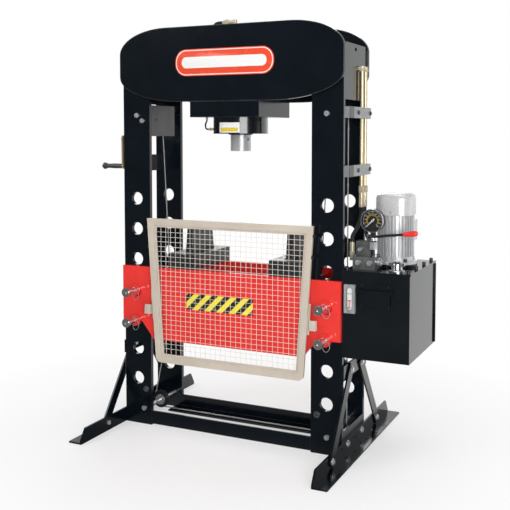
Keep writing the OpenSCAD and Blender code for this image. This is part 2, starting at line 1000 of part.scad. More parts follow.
module pulley_low_right() {
    color(black)
        pulley(low_right_x, low_z, low_r);
}

module rope_cover() {
    color(grey)
        difference() {
            union() {
                box(cover_x, cover_x + cover_t, -yi, cover_y1, cover_z0, cover_z1);
                box(cover_bolt_x - 20, cover_x + cover_t, -yi, -yi + cover_t, cover_z0, cover_z1);
            }
            for (z = cover_holes_z)
                rod_x(cover_x - eps, cover_x + cover_t + eps, cover_hole_y, z, cover_hole_r);
            rod_y(-yi - eps, -yi + cover_t + eps, cover_bolt_x, cover_bolt_z, bolt_r + hole_slack);
        }
}

module lift_cable() {
    a = touch(-top_x, top_z, top_r, -lug_x, lug_z1 + 12, 1);
    color(steel)
        swept(concat([[-lug_x, 0, lug_z1 - 20], [-lug_x, 0, lug_z1 + 12]],
            arc_xz(-top_x, top_z, top_r, a, 180, 16),
            [[drum_x, -winch_y + drum_r + rope_r + 0.5, winch_z]]), rope_r, rope_sides, [0, 1, 0]);
}

module level_cable() {
    a = touch(low_left_x, low_z, low_r, -lug_x, lug_z0 - 12, 1);
    b = touch(top_x, top_z, top_r, lug_x, lug_z1 + 12, -1) + 360;
    color(steel)
        swept(concat([[-lug_x, 0, lug_z0 + 20], [-lug_x, 0, lug_z0 - 12]],
            arc_xz(low_left_x, low_z, low_r, a, 270, 12), arc_xz(low_right_x, low_z, low_r, 270, 360, 12),
            arc_xz(top_x, top_z, top_r, 0, b, 16), [[lug_x, 0, lug_z1 + 12], [lug_x, 0, lug_z1 - 20]]),
            rope_r, rope_sides, [0, 1, 0]);
}

module bed_plate(y0) {
    difference() {
        along_y(y0, y0 + bed_t)
            polygon([[-bed_half, bed_top], [-bed_half, bed_low_axis], [-bed_end_x, bed_low_axis],
                [-bed_slope_x, bed_bottom], [bed_slope_x, bed_bottom], [bed_end_x, bed_low_axis],
                [bed_half, bed_low_axis], [bed_half, bed_top]]);
        for (s = [-1, 1]) {
            rod_y(y0 - eps, y0 + bed_t + eps, s * column_x, bed_axis, hole_d / 2);
            rod_y(y0 - eps, y0 + bed_t + eps, s * column_x, bed_low_axis, hole_d / 2);
        }
    }
}

module bed_front_plate() {
    color(red) {
        bed_plate(-bed_y - bed_t);
        for (s = [-1, 1])
            rod_y(guard_y0 + 2, -bed_y - bed_t + eps, guard_x + s * peg_x, peg_z, peg_r);
    }
}

module bed_rear_plate() {
    color(red)
        bed_plate(bed_y);
}

module bed_webs() {
    color(red)
        both_sides() {
            box(web_x, web_x + web_t + 0.01, -bed_y, bed_y, bed_bottom + 20, bed_top - 20);
            difference() {
                box(web_x + web_t, lug_x + 8, -lug_half, lug_half, lug_z0, lug_z1);
                rod_z(lug_z1 - 40, lug_z1 + eps, lug_x, 0, rope_r + 1);
                rod_z(lug_z0 - eps, lug_z0 + 40, lug_x, 0, rope_r + 1);
            }
        }
}

module v_block(x, shift) {
    box(x - vee_w / 2, x + vee_w / 2, -vee_l / 2, vee_l / 2, bed_top, vee_z1);
    along_x(x + shift - vee_rib_t / 2, x + shift + vee_rib_t / 2)
        polygon([[-vee_low_half, vee_z1 - eps], [vee_low_half, vee_z1 - eps], [vee_top_half, vee_z2],
            [vee_notch_w / 2, vee_z2], [0, vee_z2 - vee_notch_w * 0.65], [-vee_notch_w / 2, vee_z2],
            [-vee_top_half, vee_z2]]);
}

module v_blocks() {
    color(black) {
        v_block(vee_left_x, vee_rib_shift[0]);
        v_block(vee_right_x, vee_rib_shift[1]);
    }
}

// Half width of the guard outline at a height above its lower edge
function guard_half(h) = guard_low + (guard_top - guard_low) * h / guard_h;

// Quarter circle in a flat outline
function round_off(x, z, r, t0) =
    [for (i = [0:8]) let (t = t0 + 90 * i / 8) [x + r * cos(t), z + r * sin(t)]];

module guard_outline(inset) {
    low = guard_half(inset) - inset;
    top = guard_half(guard_h - inset) - inset;
    r = max(guard_corner - inset, guard_corner / 4);
    polygon(concat([[top, guard_z1 - inset], [-top, guard_z1 - inset]],
        round_off(r - low, guard_z0 + inset + r, r, 180), round_off(low - r, guard_z0 + inset + r, r, 270)));
}

module guard_ear() {
    h0 = peg_z - ear_low - guard_z0;
    h1 = peg_z + ear_high - guard_z0;
    w0 = guard_half(h0);
    w1 = guard_half(h1);
    difference() {
        union() {
            box(guard_half(peg_z - guard_z0) - ear_lap, peg_x + ear_out, guard_y1 - ear_t, guard_y1,
                peg_z - ear_half, peg_z + ear_half);
            along_y(guard_y1 - ear_t, guard_y1)
                polygon([[w0 - ear_lap, guard_z0 + h0], [w0 + ear_strip, guard_z0 + h0],
                    [w1 + ear_strip, guard_z0 + h1], [w1 - ear_lap, guard_z0 + h1]]);
        }
        rod_y(guard_y1 - ear_t - eps, guard_y1 + eps, peg_x, peg_z, peg_r + gap);
        box(peg_x - peg_r - gap, peg_x + peg_r + gap, guard_y1 - ear_t - eps, guard_y1 + eps,
            peg_z - ear_half - eps, peg_z);
    }
}

module guard_frame() {
    color(beige)
        translate([guard_x, 0, 0]) {
            difference() {
                along_y(guard_y0, guard_y1)
                    guard_outline(0);
                along_y(guard_y0 - eps, guard_y1 + eps)
                    guard_outline(guard_bar);
                along_y(guard_y0 - eps, guard_y1 - lip_t)
                    guard_outline(guard_bar - guard_lip);
            }
            both_sides()
                guard_ear();
        }
}

module guard_mesh() {
    mid = guard_bar / 2;
    color(beige)
        translate([guard_x, 0, 0]) {
            for (i = [0:wires_x - 1])
                translate([(i - (wires_x - 1) / 2) * wire_pitch, guard_y1 + wire_d / 2, guard_z0 + mid])
                    cylinder(h = guard_h - guard_bar, d = wire_d, $fn = 14);
            for (i = [0:wires_z - 1]) {
                h = guard_bar + (guard_h - 2 * guard_bar) * (i + 1) / (wires_z + 1);
                half = guard_half(h) - mid;
                translate([-half, guard_y1 + wire_d * 1.5 + wire_gap, guard_z0 + h])
                    rotate([0, 90, 0])
                        cylinder(h = 2 * half, d = wire_d, $fn = 14);
            }
        }
}

module guard_bumpers() {
    color(rubber)
        translate([guard_x, 0, 0])
            both_sides()
                difference() {
                    for (h = bumper_h)
                        rod_x(guard_half(h) - bumper_r, guard_half(h) + bumper_out, (guard_y0 + guard_y1) / 2,
                            guard_z0 + h, bumper_r);
                    along_y(guard_y0 - eps, guard_y1 + eps)
                        guard_outline(0);
                }
}

module bed_pin(x, z) {
    r = pin_d / 2;
    rod = pull_d / 2;
    knob = knob_d / 2;
    end = pin_y0 - pull_l;
    translate([x, 0, z])
        rotate([-90, 0, 0])
            rotate_extrude()
                polygon([[0, end + knob_hole], [knob_hole, end + knob_hole / 2], [knob_hole, end],
                    [knob - knob_edge, end], [knob, end + knob_edge], [knob, end + knob_l - knob_edge],
                    [knob - knob_edge, end + knob_l], [rod, end + knob_l], [rod, pin_y0 - knob_edge],
                    [r - knob_edge, pin_y0 - knob_edge], [r, pin_y0], [r, pin_y1 - pin_chamfer],
                    [r - pin_chamfer, pin_y1], [0, pin_y1]]);
}

module pin_upper_left() {
    color(steel)
        bed_pin(-column_x, pin_up_z);
}

module pin_upper_right() {
    color(steel)
        bed_pin(column_x, pin_up_z);
}

module pin_lower_left() {
    color(steel)
        bed_pin(-column_x, pin_low_z);
}

module pin_lower_right() {
    color(steel)
        bed_pin(column_x, pin_low_z);
}

module handle_ear_at(x0) {
    difference() {
        box(x0, x0 + handle_ear, handle_y - handle_ear, tank_y0 + eps, handle_z - handle_ear,
            handle_z + handle_ear);
        rod_x(x0 - eps, x0 + handle_ear + eps, handle_y, handle_z, handle_pin_r + run);
    }
}

module tank() {
    color(black) {
        difference() {
            box(tank_x0, tank_x1, tank_y0, tank_y1, tank_z0, tank_top);
            box(tank_x0 + tank_wall, tank_x1 - tank_wall, tank_y0 + tank_wall, tank_y1 - tank_wall,
                tank_z0 + tank_wall, tank_top - 20);
            box(tank_x0 + 24, tank_x1 - 24, tank_y0 + 24, tank_y1 - 24, tank_top - 21, tank_top + eps);
            for (x = [tank_x0 + lid_edge, tank_x1 - lid_edge], y = lid_ys)
                rod_z(tank_top - 13, tank_top + eps, x, y, lid_bolt_r + hole_slack);
        }
        handle_ear_at(handle_x0);
        handle_ear_at(handle_x1 - handle_ear);
        box(handle_x0, handle_x1, tank_y0 - handle_back, tank_y0 + eps, handle_z - handle_drop - handle_rim,
            handle_z + handle_drop / 2);
    }
}

module tank_lid() {
    color(black)
        difference() {
            union() {
                box(tank_x0, tank_x1 + lid_over, tank_y0 - lid_over, tank_y1 + lid_over, tank_top, lid_z1);
                rod_z(lid_z1 - eps, lid_z1 + neck_up, breather_x, breather_y, breather_neck_r);
            }
            rod_z(tank_top - eps, lid_z1 + neck_up + eps, breather_x, breather_y, breather_neck_r - cap_wall);
            rod_z(tank_top - eps, lid_z1 + eps, mx, my, lid_shaft_r);
            for (x = [tank_x0 + lid_edge, tank_x1 - lid_edge], y = lid_ys)
                rod_z(tank_top - eps, lid_z1 + eps, x, y, lid_bolt_r + hole_slack);
        }
}

// Long round-ended slot of the level gauge
module sight_slot(y0, y1) {
    x = sight_x + sight_w / 2;
    z0 = sight_z + 2 * sight_screw_r + sight_r;
    z1 = sight_z + sight_h - 2 * sight_screw_r - sight_r;
    box(x - sight_r, x + sight_r, y0, y1, z0, z1);
    rod_y(y0, y1, x, z0, sight_r);
    rod_y(y0, y1, x, z1, sight_r);
}

module level_gauge() {
    color(grey)
        difference() {
            box(sight_x, sight_x + sight_w, tank_y0 - sight_d, tank_y0, sight_z, sight_z + sight_h);
            sight_slot(tank_y0 - sight_d - eps, tank_y0 - sight_d / 2);
        }
}

module level_glass() {
    color(clear)
        intersection() {
            sight_slot(tank_y0 - sight_d + 2, tank_y0 - sight_d / 2);
            box(sight_x, sight_x + sight_w, tank_y0 - sight_d, tank_y0, sight_z, sight_z + sight_h);
        }
}

// Folding flap handle with a raised rim
module tank_handle() {
    x0 = handle_x0 + handle_ear + handle_gap;
    x1 = handle_x1 - handle_ear - handle_gap;
    top = handle_z + handle_half;
    low = handle_z - handle_drop;
    color(black) {
        difference() {
            box(x0, x1, handle_y - handle_half, handle_y + handle_half, low, top);
            for (y = [handle_y - handle_half - handle_web, handle_y + handle_half + handle_web])
                box(x0 + handle_rim, x1 - handle_rim, y - handle_half, y + handle_half, low + handle_rim,
                    top - handle_rim);
        }
        rod_x(handle_x0 - handle_gap, x0 + eps, handle_y, handle_z, handle_pin_r);
        rod_x(x1 - eps, handle_x1 + handle_gap, handle_y, handle_z, handle_pin_r);
    }
}

// Filler cap with a wide rim, a domed top and two ears
module breather_cap() {
    r = breather_neck_r + run;
    skirt = breather_neck_r + cap_wall;
    inside = neck_up + eps;
    color(grey)
        translate([breather_x, breather_y, lid_z1 + cap_lift]) {
            rotate_extrude()
                polygon([[r, 0], [cap_rim_r, 0], [cap_rim_r, cap_rim_t * 0.6], [cap_rim_r - 3, cap_rim_t],
                    [skirt + 2, cap_rim_t + 1], [skirt, cap_rim_t + 4], [skirt, cap_top_h * 0.75],
                    [skirt * 0.75, cap_top_h * 0.94], [skirt * 0.3, cap_top_h], [0, cap_top_h],
                    [0, inside], [r, inside]]);
            for (side = [-1, 1])
                box(side > 0 ? skirt - 2 : -cap_rim_r, side > 0 ? cap_rim_r : 2 - skirt,
                    -cap_ear_w / 2, cap_ear_w / 2, cap_ear_z, cap_ear_z + cap_ear_h);
        }
}

module motor_adapter() {
    color(black)
        difference() {
            union() {
                rod_z(lid_z1, motor_z0, mx, my, adapter_r);
                rod_z(tank_top, lid_z1 + eps, mx, my, lid_shaft_r - push);
            }
            rod_z(tank_top - eps, motor_z0 + eps, mx, my, 24);
        }
}

module motor_housing() {
    color(grey)
        difference() {
            union() {
                rod_z(motor_z0, motor_z0 + flange_h, mx, my, motor_flange_r);
                rod_z(motor_z0, motor_z0 + motor_flange_t, mx, my, adapter_r);
                rod_z(motor_z0, motor_z1, mx, my, motor_r);
                for (i = [0:fin_count - 1])
                    translate([mx, my, motor_z0 + flange_h])
                        rotate([0, 0, 360 * (i + 0.5) / fin_count])
                            box(motor_r - fin_t, fin_r, -fin_t / 2, fin_t / 2, -eps, fin_l);
                box(mx - box_left, mx + box_right, my + motor_r - box_lap, my + motor_r + box_out,
                    box_z0, box_z1);
            }
            rod_z(motor_z0 + shield_t, motor_z1 - shield_t, mx, my, motor_bore);
            rod_z(motor_z0 - eps, motor_z1 + eps, mx, my, motor_shaft_r + run);
        }
}

module motor_rotor() {
    color(steel) {
        rod_z(tank_top - shaft_dip, fan_z1 - shaft_inset, mx, my, motor_shaft_r);
        rod_z(motor_z0 + rotor_inset, motor_z1 - rotor_inset, mx, my, rotor_r);
        rod_z(fan_z0, fan_z0 + fan_h, mx, my, fan_hub_r);
        for (i = [0:fan_blades - 1])
            translate([mx, my, fan_z0 + fan_t])
                rotate([0, 0, 360 * i / fan_blades])
                    box(fan_hub_r - fan_t, fan_r, -fan_t / 2, fan_t / 2, 0, fan_h - 2 * fan_t);
    }
}

// Rounded square column on the motor axis
module cowl_layer(half, r, z0, z1) {
    for (x = [r - half, half - r], y = [r - half, half - r])
        translate([x, y, z0])
            cylinder(h = z1 - z0, r = r, $fn = 32);
}

module cowl_solid(inset, z0) {
    h = cowl_h - inset;
    half = cowl_half - inset;
    r = cowl_r - inset;
    hull() {
        cowl_layer(half, r, z0, h - cowl_round);
        cowl_layer(half - cowl_round * 0.15, r, h - cowl_round * 0.5, h - cowl_round * 0.4);
        cowl_layer(half - cowl_round * 0.75, r, h - fan_wall, h);
    }
}

module fan_cover() {
    color(grey)
        translate([mx, my, motor_z1])
            difference() {
                cowl_solid(0, 0);
                cowl_solid(fan_wall, cowl_foot);
                rod_z(-eps, cowl_foot + eps, 0, 0, cowl_open);
                for (i = [0:cowl_slots - 1])
                    rotate([0, 0, 360 * i / cowl_slots])
                        box(i % 2 == 0 ? slot_in : slot_mid, slot_out, -slot_half, slot_half,
                            cowl_h - 2 * fan_wall, cowl_h + eps);
            }
}

module pump() {
    color(grey) {
        difference() {
            rod_z(tank_top - pump_l, tank_top, mx, my, pump_r);
            rod_z(tank_top - 40, tank_top + eps, mx, my, 14);
        }
        rod_z(tank_top - pump_l - 40, tank_top - pump_l + eps, mx, my, 12);
        rod_z(tank_top - pump_l - 90, tank_top - pump_l - 40 + eps, mx, my, 28);
    }
}

module valve_block() {
    relief_x = valve_x0 + 28;
    relief_z = body_z1 - 34;
    spool_z = lid_z1 + 30;
    color(black)
        difference() {
            union() {
                box(valve_x0, valve_x1, valve_y0, valve_y1, lid_z1, valve_z1);
                box(valve_x0 + 5, body_x1, body_y0, body_y1, valve_z1 - eps, body_z1);
                for (s = [-1, 1])
                    box(lever_x - fork_w, lever_x + fork_w, lever_y + s * fork_mid - fork_t / 2,
                        lever_y + s * fork_mid + fork_t / 2, body_z1 - eps, lever_z + fork_w);
                for (x = [valve_x0 + plug_x, valve_x1 - plug_x])
                    hex_y(valve_y0 - plug_l, valve_y0 + eps, x, spool_z, plug_r);
                rod_x(valve_x1 - eps, valve_x1 + spool_l, lever_y, spool_z, spool_r);
                rod_y(body_y0 - relief_l, body_y0 + eps, relief_x, relief_z, relief_r);
                hex_y(body_y0 - relief_l / 2, body_y0 + eps, relief_x, relief_z, plug_r);
            }
            rod_y(lever_y - 3 * fork_half, lever_y + 3 * fork_half, lever_x, lever_z, lever_pin_r + run);
        }
}

module valve_lever() {
    color(black) {
        rod_y(lever_y - fork_half + 0.5, lever_y + fork_half - 0.5, lever_x, lever_z, lever_hub_r);
        rod_y(lever_y - fork_out, lever_y + fork_out, lever_x, lever_z, lever_pin_r);
        translate([lever_x, lever_y, lever_z])
            rotate([0, -lever_tilt, 0])
                rod_x(0, lever_l + grip_l - grip_end, 0, 0, lever_rod_r);
    }
}

module lever_grip() {
    color(red)
        translate([lever_x, lever_y, lever_z])
            rotate([0, 90 - lever_tilt, 0])
                rotate_extrude()
                    polygon([[lever_rod_r + run, lever_l], [grip_neck_r, lever_l],
                        [grip_r, lever_l + grip_l * 0.6], [grip_r, lever_l + grip_l * 0.8],
                        [grip_r * 0.8, lever_l + grip_l * 0.95], [grip_r * 0.4, lever_l + grip_l],
                        [0, lever_l + grip_l], [0, lever_l + grip_l - grip_end + run],
                        [lever_rod_r + run, lever_l + grip_l - grip_end + run]]);
}

module gauge_case() {
    color(black) {
        difference() {
            rod_y(gauge_y0, gauge_y0 + gauge_depth, gauge_x, gauge_z, gauge_r);
            rod_y(gauge_y0 - eps, dial_y, gauge_x, gauge_z, gauge_r - gauge_rim);
        }
        rod_y(dial_y - 5, dial_y + eps, gauge_x, gauge_z, arbor_r);
        rod_z(valve_z1, gauge_z - gauge_r + gauge_rim, gauge_x, stem_y, stem_r);
        hex_z(stem_nut_z, stem_nut_z + stem_nut_h, gauge_x, stem_y, stem_nut_r);
        hex_z(gauge_z - gauge_r - nut_r, gauge_z - gauge_r + gauge_rim / 2, gauge_x, stem_y, nut_r);
    }
}

module gauge_glass() {
    color(clear)
        rod_y(gauge_y0 + 2, gauge_y0 + 5, gauge_x, gauge_z, gauge_r - gauge_rim - run);
}

module gauge_pointer() {
    reach = gauge_r - gauge_rim - 10;
    color(zinc)
        translate([gauge_x, 0, gauge_z])
            difference() {
                union() {
                    rod_y(dial_y - 4, dial_y - 1, 0, 0, 5);
                    rotate([0, -135, 0])
                        along_y(dial_y - 3.5, dial_y - 1.5)
                            polygon([[-2.5, -12], [2.5, -12], [2.5, 0], [0.8, reach], [-0.8, reach],
                                [-2.5, 0]]);
                }
                rod_y(dial_y - 6, dial_y + eps, 0, 0, arbor_r + run);
            }
}

module pipes() {
    color(gold)
        for (y = port_y)
            rod_z(pipe_z0, pipe_z1, pipe_x, y, pipe_r);
}

module pipe_end(y) {
    rod_x(xo - port_l, pipe_x, y, port_z, port_r);
    hex_x(xo, xo + nut_h, y, port_z, nut_r);
    rod_z(pipe_z1 + run, port_z + union_r, pipe_x, y, union_r);
    hex_z(pipe_z1 + run, pipe_z1 + nut_h, pipe_x, y, nut_r);
    rod_z(sleeve_z, pipe_z0 - run, pipe_x, y, hose_r + 2);
    hex_z(pipe_z0 - 3 * nut_h, pipe_z0 - run, pipe_x, y, nut_r + 1);
}

module fittings() {
    neck_z = head_z + neck_h;
    under = head_z - block_h;
    color(gold) {
        for (y = port_y)
            pipe_end(y);
        // Elbow on the left of the valve
        rod_z(elbow_z - elbow_r, elbow_z + elbow_l, elbow_x, elbow_y, elbow_r);
        hex_x(elbow_x, valve_x0, elbow_y, elbow_z, nut_r);
        hex_z(elbow_z + nut_h, elbow_z + 3 * nut_h, elbow_x, elbow_y, nut_r);
        // Nipple at the rear of the valve
        rod_y(valve_y1, valve_y1 + nipple_l, rear_port_x, rear_port_z, hose_r + 1);
        hex_y(valve_y1, valve_y1 + nipple_l / 2, rear_port_x, rear_port_z, nut_r);
        // Pieces that follow the cylinder
        translate([cylinder_x, 0, 0]) {
            rod_z(cap_top, cap_top + cap_port_z + union_r, cap_port_x, 0, union_r);
            rod_x(cap_hose_x, cap_port_x, 0, cap_top + cap_port_z, union_r);
            hex_x(cap_hose_x + nut_h, cap_hose_x + 3 * nut_h, 0, cap_top + cap_port_z, nut_r + 2);
            rod_z(neck_z, neck_z + nipple_l, block_port_x, 0, port_r);
            for (y = port_y)
                rod_x(block_w / 2, block_w / 2 + nipple_l, y, neck_z - block_port_z, port_r);
            // Bleed nipples under the block and on the barrel
            rod_z(under - nut_h, under, bleed_x, bleed_y, bleed_r + 2);
            rod_x(bleed_end, bleed_seat, bleed_y, under - bleed_drop, bleed_r + 1);
            hex_x(bleed_end + 4, bleed_end + 12, bleed_y, under - bleed_drop, bleed_r + 4);
        }
    }
}

module pipe_clamps() {
    color(zinc)
        for (z = clamp_zs) {
            z0 = z - clamp_h / 2;
            z1 = z + clamp_h / 2;
            box(clamp_x, clamp_x + clamp_t, clamp_y0, clamp_y1, z0, z1);
            box(xo, clamp_x + eps, clamp_y0, clamp_y0 + clamp_t, z0, z1);
            box(xo, clamp_x + eps, clamp_y1 - clamp_t, clamp_y1, z0, z1);
        }
}

module hoses() {
    low = [elbow_x, elbow_y, elbow_z + elbow_l];
    back = [rear_port_x, valve_y1 + nipple_l, rear_port_z];
    side_z = head_z + neck_h - block_port_z;
    side_x = cylinder_x + block_w / 2 + nipple_l;
    port_x = xo - port_l;
    neck = [cylinder_x + block_port_x, 0, head_z + neck_h + nipple_l];
    cap = [cylinder_x + cap_hose_x, 0, cap_top + cap_port_z];
    bleed = [cylinder_x + bleed_x, bleed_y, head_z - block_h];
    lead = 10;
    color(rubber) {
        swept(concat([[pipe_x, port_y[0], sleeve_z]],
            route([[pipe_x, port_y[0], sleeve_z - lead], [pipe_x, port_y[0] - 2, sleeve_z - 36],
                [pipe_x, 10, sleeve_z - 80], low + [0, 8, 30], low + [0, 0, lead]], 6),
            [low]), hose_r, hose_sides, [1, 0, 0]);
        swept(concat([[pipe_x, port_y[1], sleeve_z]],
            route([[pipe_x, port_y[1], sleeve_z - lead], [pipe_x, port_y[1] - 2, sleeve_z - 45],
                [pipe_x + 12, 84, sleeve_z - 115], back + [-18, 56, 55], back + [0, lead, 0]], 6),
            [back]), hose_r, hose_sides, [1, 0, 0]);
        for (y = port_y)
            swept(concat([[port_x, y, port_z]],
                route([[port_x - lead, y, port_z], [xo - 90, y, port_z - 4],
                    [side_x + 104, y, port_z - 70], [side_x + 34, y, side_z + 3],
                    [side_x + lead, y, side_z]], 5),
                [[side_x, y, side_z]]), port_r, hose_sides, [0, 1, 0]);
        swept(concat([cap],
            route([cap - [lead, 0, 0], cap - [45, 0, 10], cap - [81, 0, 78],
                neck + [-8, 0, 90], neck + [0, 0, lead]], 6),
            [neck]), port_r, hose_sides, [0, 1, 0]);
        swept(concat([bleed - [0, 0, nut_h]],
            route([bleed - [0, 0, nut_h + 4], bleed - [8, 0, bleed_drop * 0.6],
                bleed - [5, 0, bleed_drop - 4], bleed + [bleed_turn - 6, 0, -bleed_drop]], 5),
            [bleed + [bleed_turn, 0, -bleed_drop]]), bleed_r, rope_sides, [0, 1, 0]);
    }
}

front_uprights();
rear_uprights();
head_front_plate();
head_rear_plate();
head_side_plates();
feet();
brace_plates();
braces();
crossbars();
bolts();
cylinder_block();
cylinder_barrel();
cylinder_gland();
cylinder_cap();
ram();
piston();
winch_frame();
winch_drum();
winch_crank();
winch_grip();
pulley_top_left();
pulley_top_right();
pulley_low_left();
pulley_low_right();
rope_cover();
lift_cable();
level_cable();
bed_front_plate();
bed_rear_plate();
bed_webs();
v_blocks();
guard_frame();
guard_mesh();
guard_bumpers();
pin_upper_left();
pin_upper_right();
pin_lower_left();
pin_lower_right();
tank();
tank_lid();
level_gauge();
level_glass();
tank_handle();
breather_cap();
motor_adapter();
motor_housing();
motor_rotor();
fan_cover();
pump();
valve_block();
valve_lever();
lever_grip();
gauge_case();
gauge_glass();
gauge_pointer();
pipes();
fittings();
pipe_clamps();
hoses();
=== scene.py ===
"""Looks of the workshop press: materials, trim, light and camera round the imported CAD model."""
import math

import bmesh
import bpy
from mathutils import Matrix, Vector


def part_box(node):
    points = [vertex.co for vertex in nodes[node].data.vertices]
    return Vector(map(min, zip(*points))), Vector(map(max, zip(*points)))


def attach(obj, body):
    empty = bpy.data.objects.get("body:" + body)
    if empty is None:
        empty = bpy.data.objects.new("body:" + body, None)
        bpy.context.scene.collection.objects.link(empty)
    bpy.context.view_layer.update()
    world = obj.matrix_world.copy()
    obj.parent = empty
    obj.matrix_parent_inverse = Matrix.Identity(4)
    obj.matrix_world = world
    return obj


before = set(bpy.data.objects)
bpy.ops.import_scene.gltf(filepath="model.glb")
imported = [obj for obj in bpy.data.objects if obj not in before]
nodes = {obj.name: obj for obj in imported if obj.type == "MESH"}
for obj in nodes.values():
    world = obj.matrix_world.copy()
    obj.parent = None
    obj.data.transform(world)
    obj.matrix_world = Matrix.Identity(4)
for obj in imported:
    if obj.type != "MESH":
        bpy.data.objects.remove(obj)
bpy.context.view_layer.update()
scene = bpy.context.scene


# Materials

# Colour sockets of a Mix node
MIX_A, MIX_B, MIX_OUT = 6, 7, 2
COAT_ROUGHNESS = 0.06
# Noise of the worn spots and of the roughness, against that of the two tones
FLECK_SCALE, FLECK_EDGE = 9, 0.08
GLOSS_SCALE = 3.1


def tree(name):
    """New material with its node tree and its shader."""
    m = bpy.data.materials.new(name)
    m.use_nodes = True
    t = m.node_tree
    t.nodes.clear()
    out = t.nodes.new("ShaderNodeOutputMaterial")
    shader = t.nodes.new("ShaderNodeBsdfPrincipled")
    t.links.new(shader.outputs[0], out.inputs[0])
    return m, t, shader


def noise(t, scale, detail=4.0, rough=0.55, stretch=None):
    coord = t.nodes.new("ShaderNodeTexCoord")
    n = t.nodes.new("ShaderNodeTexNoise")
    n.inputs["Scale"].default_value = scale
    n.inputs["Detail"].default_value = detail
    n.inputs["Roughness"].default_value = rough
    source = coord.outputs["Object"]
    if stretch:
        mapping = t.nodes.new("ShaderNodeMapping")
        mapping.inputs["Scale"].default_value = stretch
        t.links.new(source, mapping.inputs["Vector"])
        source = mapping.outputs[0]
    t.links.new(source, n.inputs["Vector"])
    return n.outputs[0]


def spread(t, source, low, high, lo=0.3, hi=0.7):
    """The source's values from lo to hi, as values from low to high."""
    n = t.nodes.new("ShaderNodeMapRange")
    n.inputs["From Min"].default_value = lo
    n.inputs["From Max"].default_value = hi
    n.inputs["To Min"].default_value = low
    n.inputs["To Max"].default_value = high
    t.links.new(source, n.inputs["Value"])
    return n.outputs[0]


def math_node(t, operation, a, b=None):
    n = t.nodes.new("ShaderNodeMath")
    n.operation = operation
    for socket, value in ((n.inputs[0], a), (n.inputs[1], b)):
        if hasattr(value, "is_linked"):
            t.links.new(value, socket)
        elif value is not None:
            socket.default_value = value
    return n.outputs[0]


def mix(t, factor, a, b):
    n = t.nodes.new("ShaderNodeMix")
    n.data_type = "RGBA"
    for socket, value in ((n.inputs[MIX_A], a), (n.inputs[MIX_B], b)):
        if hasattr(value, "is_linked"):
            t.links.new(value, socket)
        else:
            socket.default_value = (*value, 1)
    t.links.new(factor, n.inputs[0])
    return n.outputs[MIX_OUT]


def bump(t, shader, height, strength, distance):
    n = t.nodes.new("ShaderNodeBump")
    n.inputs["Strength"].default_value = strength
    n.inputs["Distance"].default_value = distance
    t.links.new(height, n.inputs["Height"])
    t.links.new(n.outputs[0], shader.inputs["Normal"])


def surface(name, dark, light, rough, metal=0.0, specular=0.5, coat=0.0, grain=600.0, peel=0.06,
            patch=6.0, stretch=None, depth=0.0003, fleck=None):
    """Two close tones in soft patches, roughness that varies in patches too, and a fine grain.

    fleck adds worn spots: their colour, and the noise level at which they start.
    """
    m, t, s = tree(name)
    s.inputs["Metallic"].default_value = metal
    s.inputs["Specular IOR Level"].default_value = specular
    s.inputs["Coat Weight"].default_value = coat
    s.inputs["Coat Roughness"].default_value = COAT_ROUGHNESS
    colour = mix(t, spread(t, noise(t, patch, 5.0, 0.6, stretch), 0, 1), dark, light)
    if fleck:
        fleck_colour, start = fleck
        spots = spread(t, noise(t, patch * FLECK_SCALE, 6.0, 0.65), 0, 1, start, start + FLECK_EDGE)
        colour = mix(t, spots, colour, fleck_colour)
    t.links.new(colour, s.inputs["Base Color"])
    gloss = spread(t, noise(t, patch * GLOSS_SCALE, 4.0, 0.6, stretch), *rough)
    t.links.new(gloss, s.inputs["Roughness"])
    bump(t, s, noise(t, grain, 2.0, 0.5, stretch), peel, depth)
    return m


black = surface(
    "black_frame_paint", (0.0016, 0.0038, 0.0068), (0.0030, 0.0060, 0.0098), (0.12, 0.19))
barrel_black = surface(
    "barrel_enamel", (0.0016, 0.0032, 0.0052), (0.0030, 0.0050, 0.0074), (0.16, 0.22),
    coat=1.0)
# Rounded edges of the black paint: the lighter tone all along them is a painted highlight; the grey
# flecks are worn spots
black_edge_wear_and_highlight = surface(
    "black_paint_edge_wear_and_highlight", (0.010, 0.011, 0.012), (0.035, 0.037, 0.039), (0.24, 0.36),
    specular=0.4, patch=24, fleck=((0.16, 0.16, 0.16), 0.66))
black_tank = surface(
    "black_tank_paint", (0.0040, 0.0062, 0.0080), (0.0068, 0.0094, 0.0114), (0.10, 0.16),
    grain=300, peel=0.05)
black_bolt = surface(
    "black_bolt_steel", (0.016, 0.017, 0.018), (0.040, 0.041, 0.043), (0.28, 0.42),
    metal=0.4, grain=800, peel=0.1, patch=40)
satin_black = surface(
    "satin_black", (0.010, 0.010, 0.011), (0.022, 0.022, 0.024), (0.34, 0.48),
    specular=0.35, grain=700, peel=0.15, patch=20)
red = surface("red_bed_paint", (0.74, 0.034, 0.028), (0.80, 0.044, 0.036), (0.08, 0.13), coat=0.6)
# Rounded edges of the red paint: the paler tone along them is a painted highlight; the darker
# flecks are worn spots
red_edge_wear_and_highlight = surface(
    "red_paint_edge_wear_and_highlight", (0.70, 0.035, 0.026), (0.80, 0.075, 0.055), (0.2, 0.3),
    patch=24, fleck=((0.20, 0.17, 0.15), 0.7))
beige = surface(
    "beige_powder_coat", (0.50, 0.44, 0.365), (0.58, 0.515, 0.43), (0.36, 0.48),
    grain=800, peel=0.14)
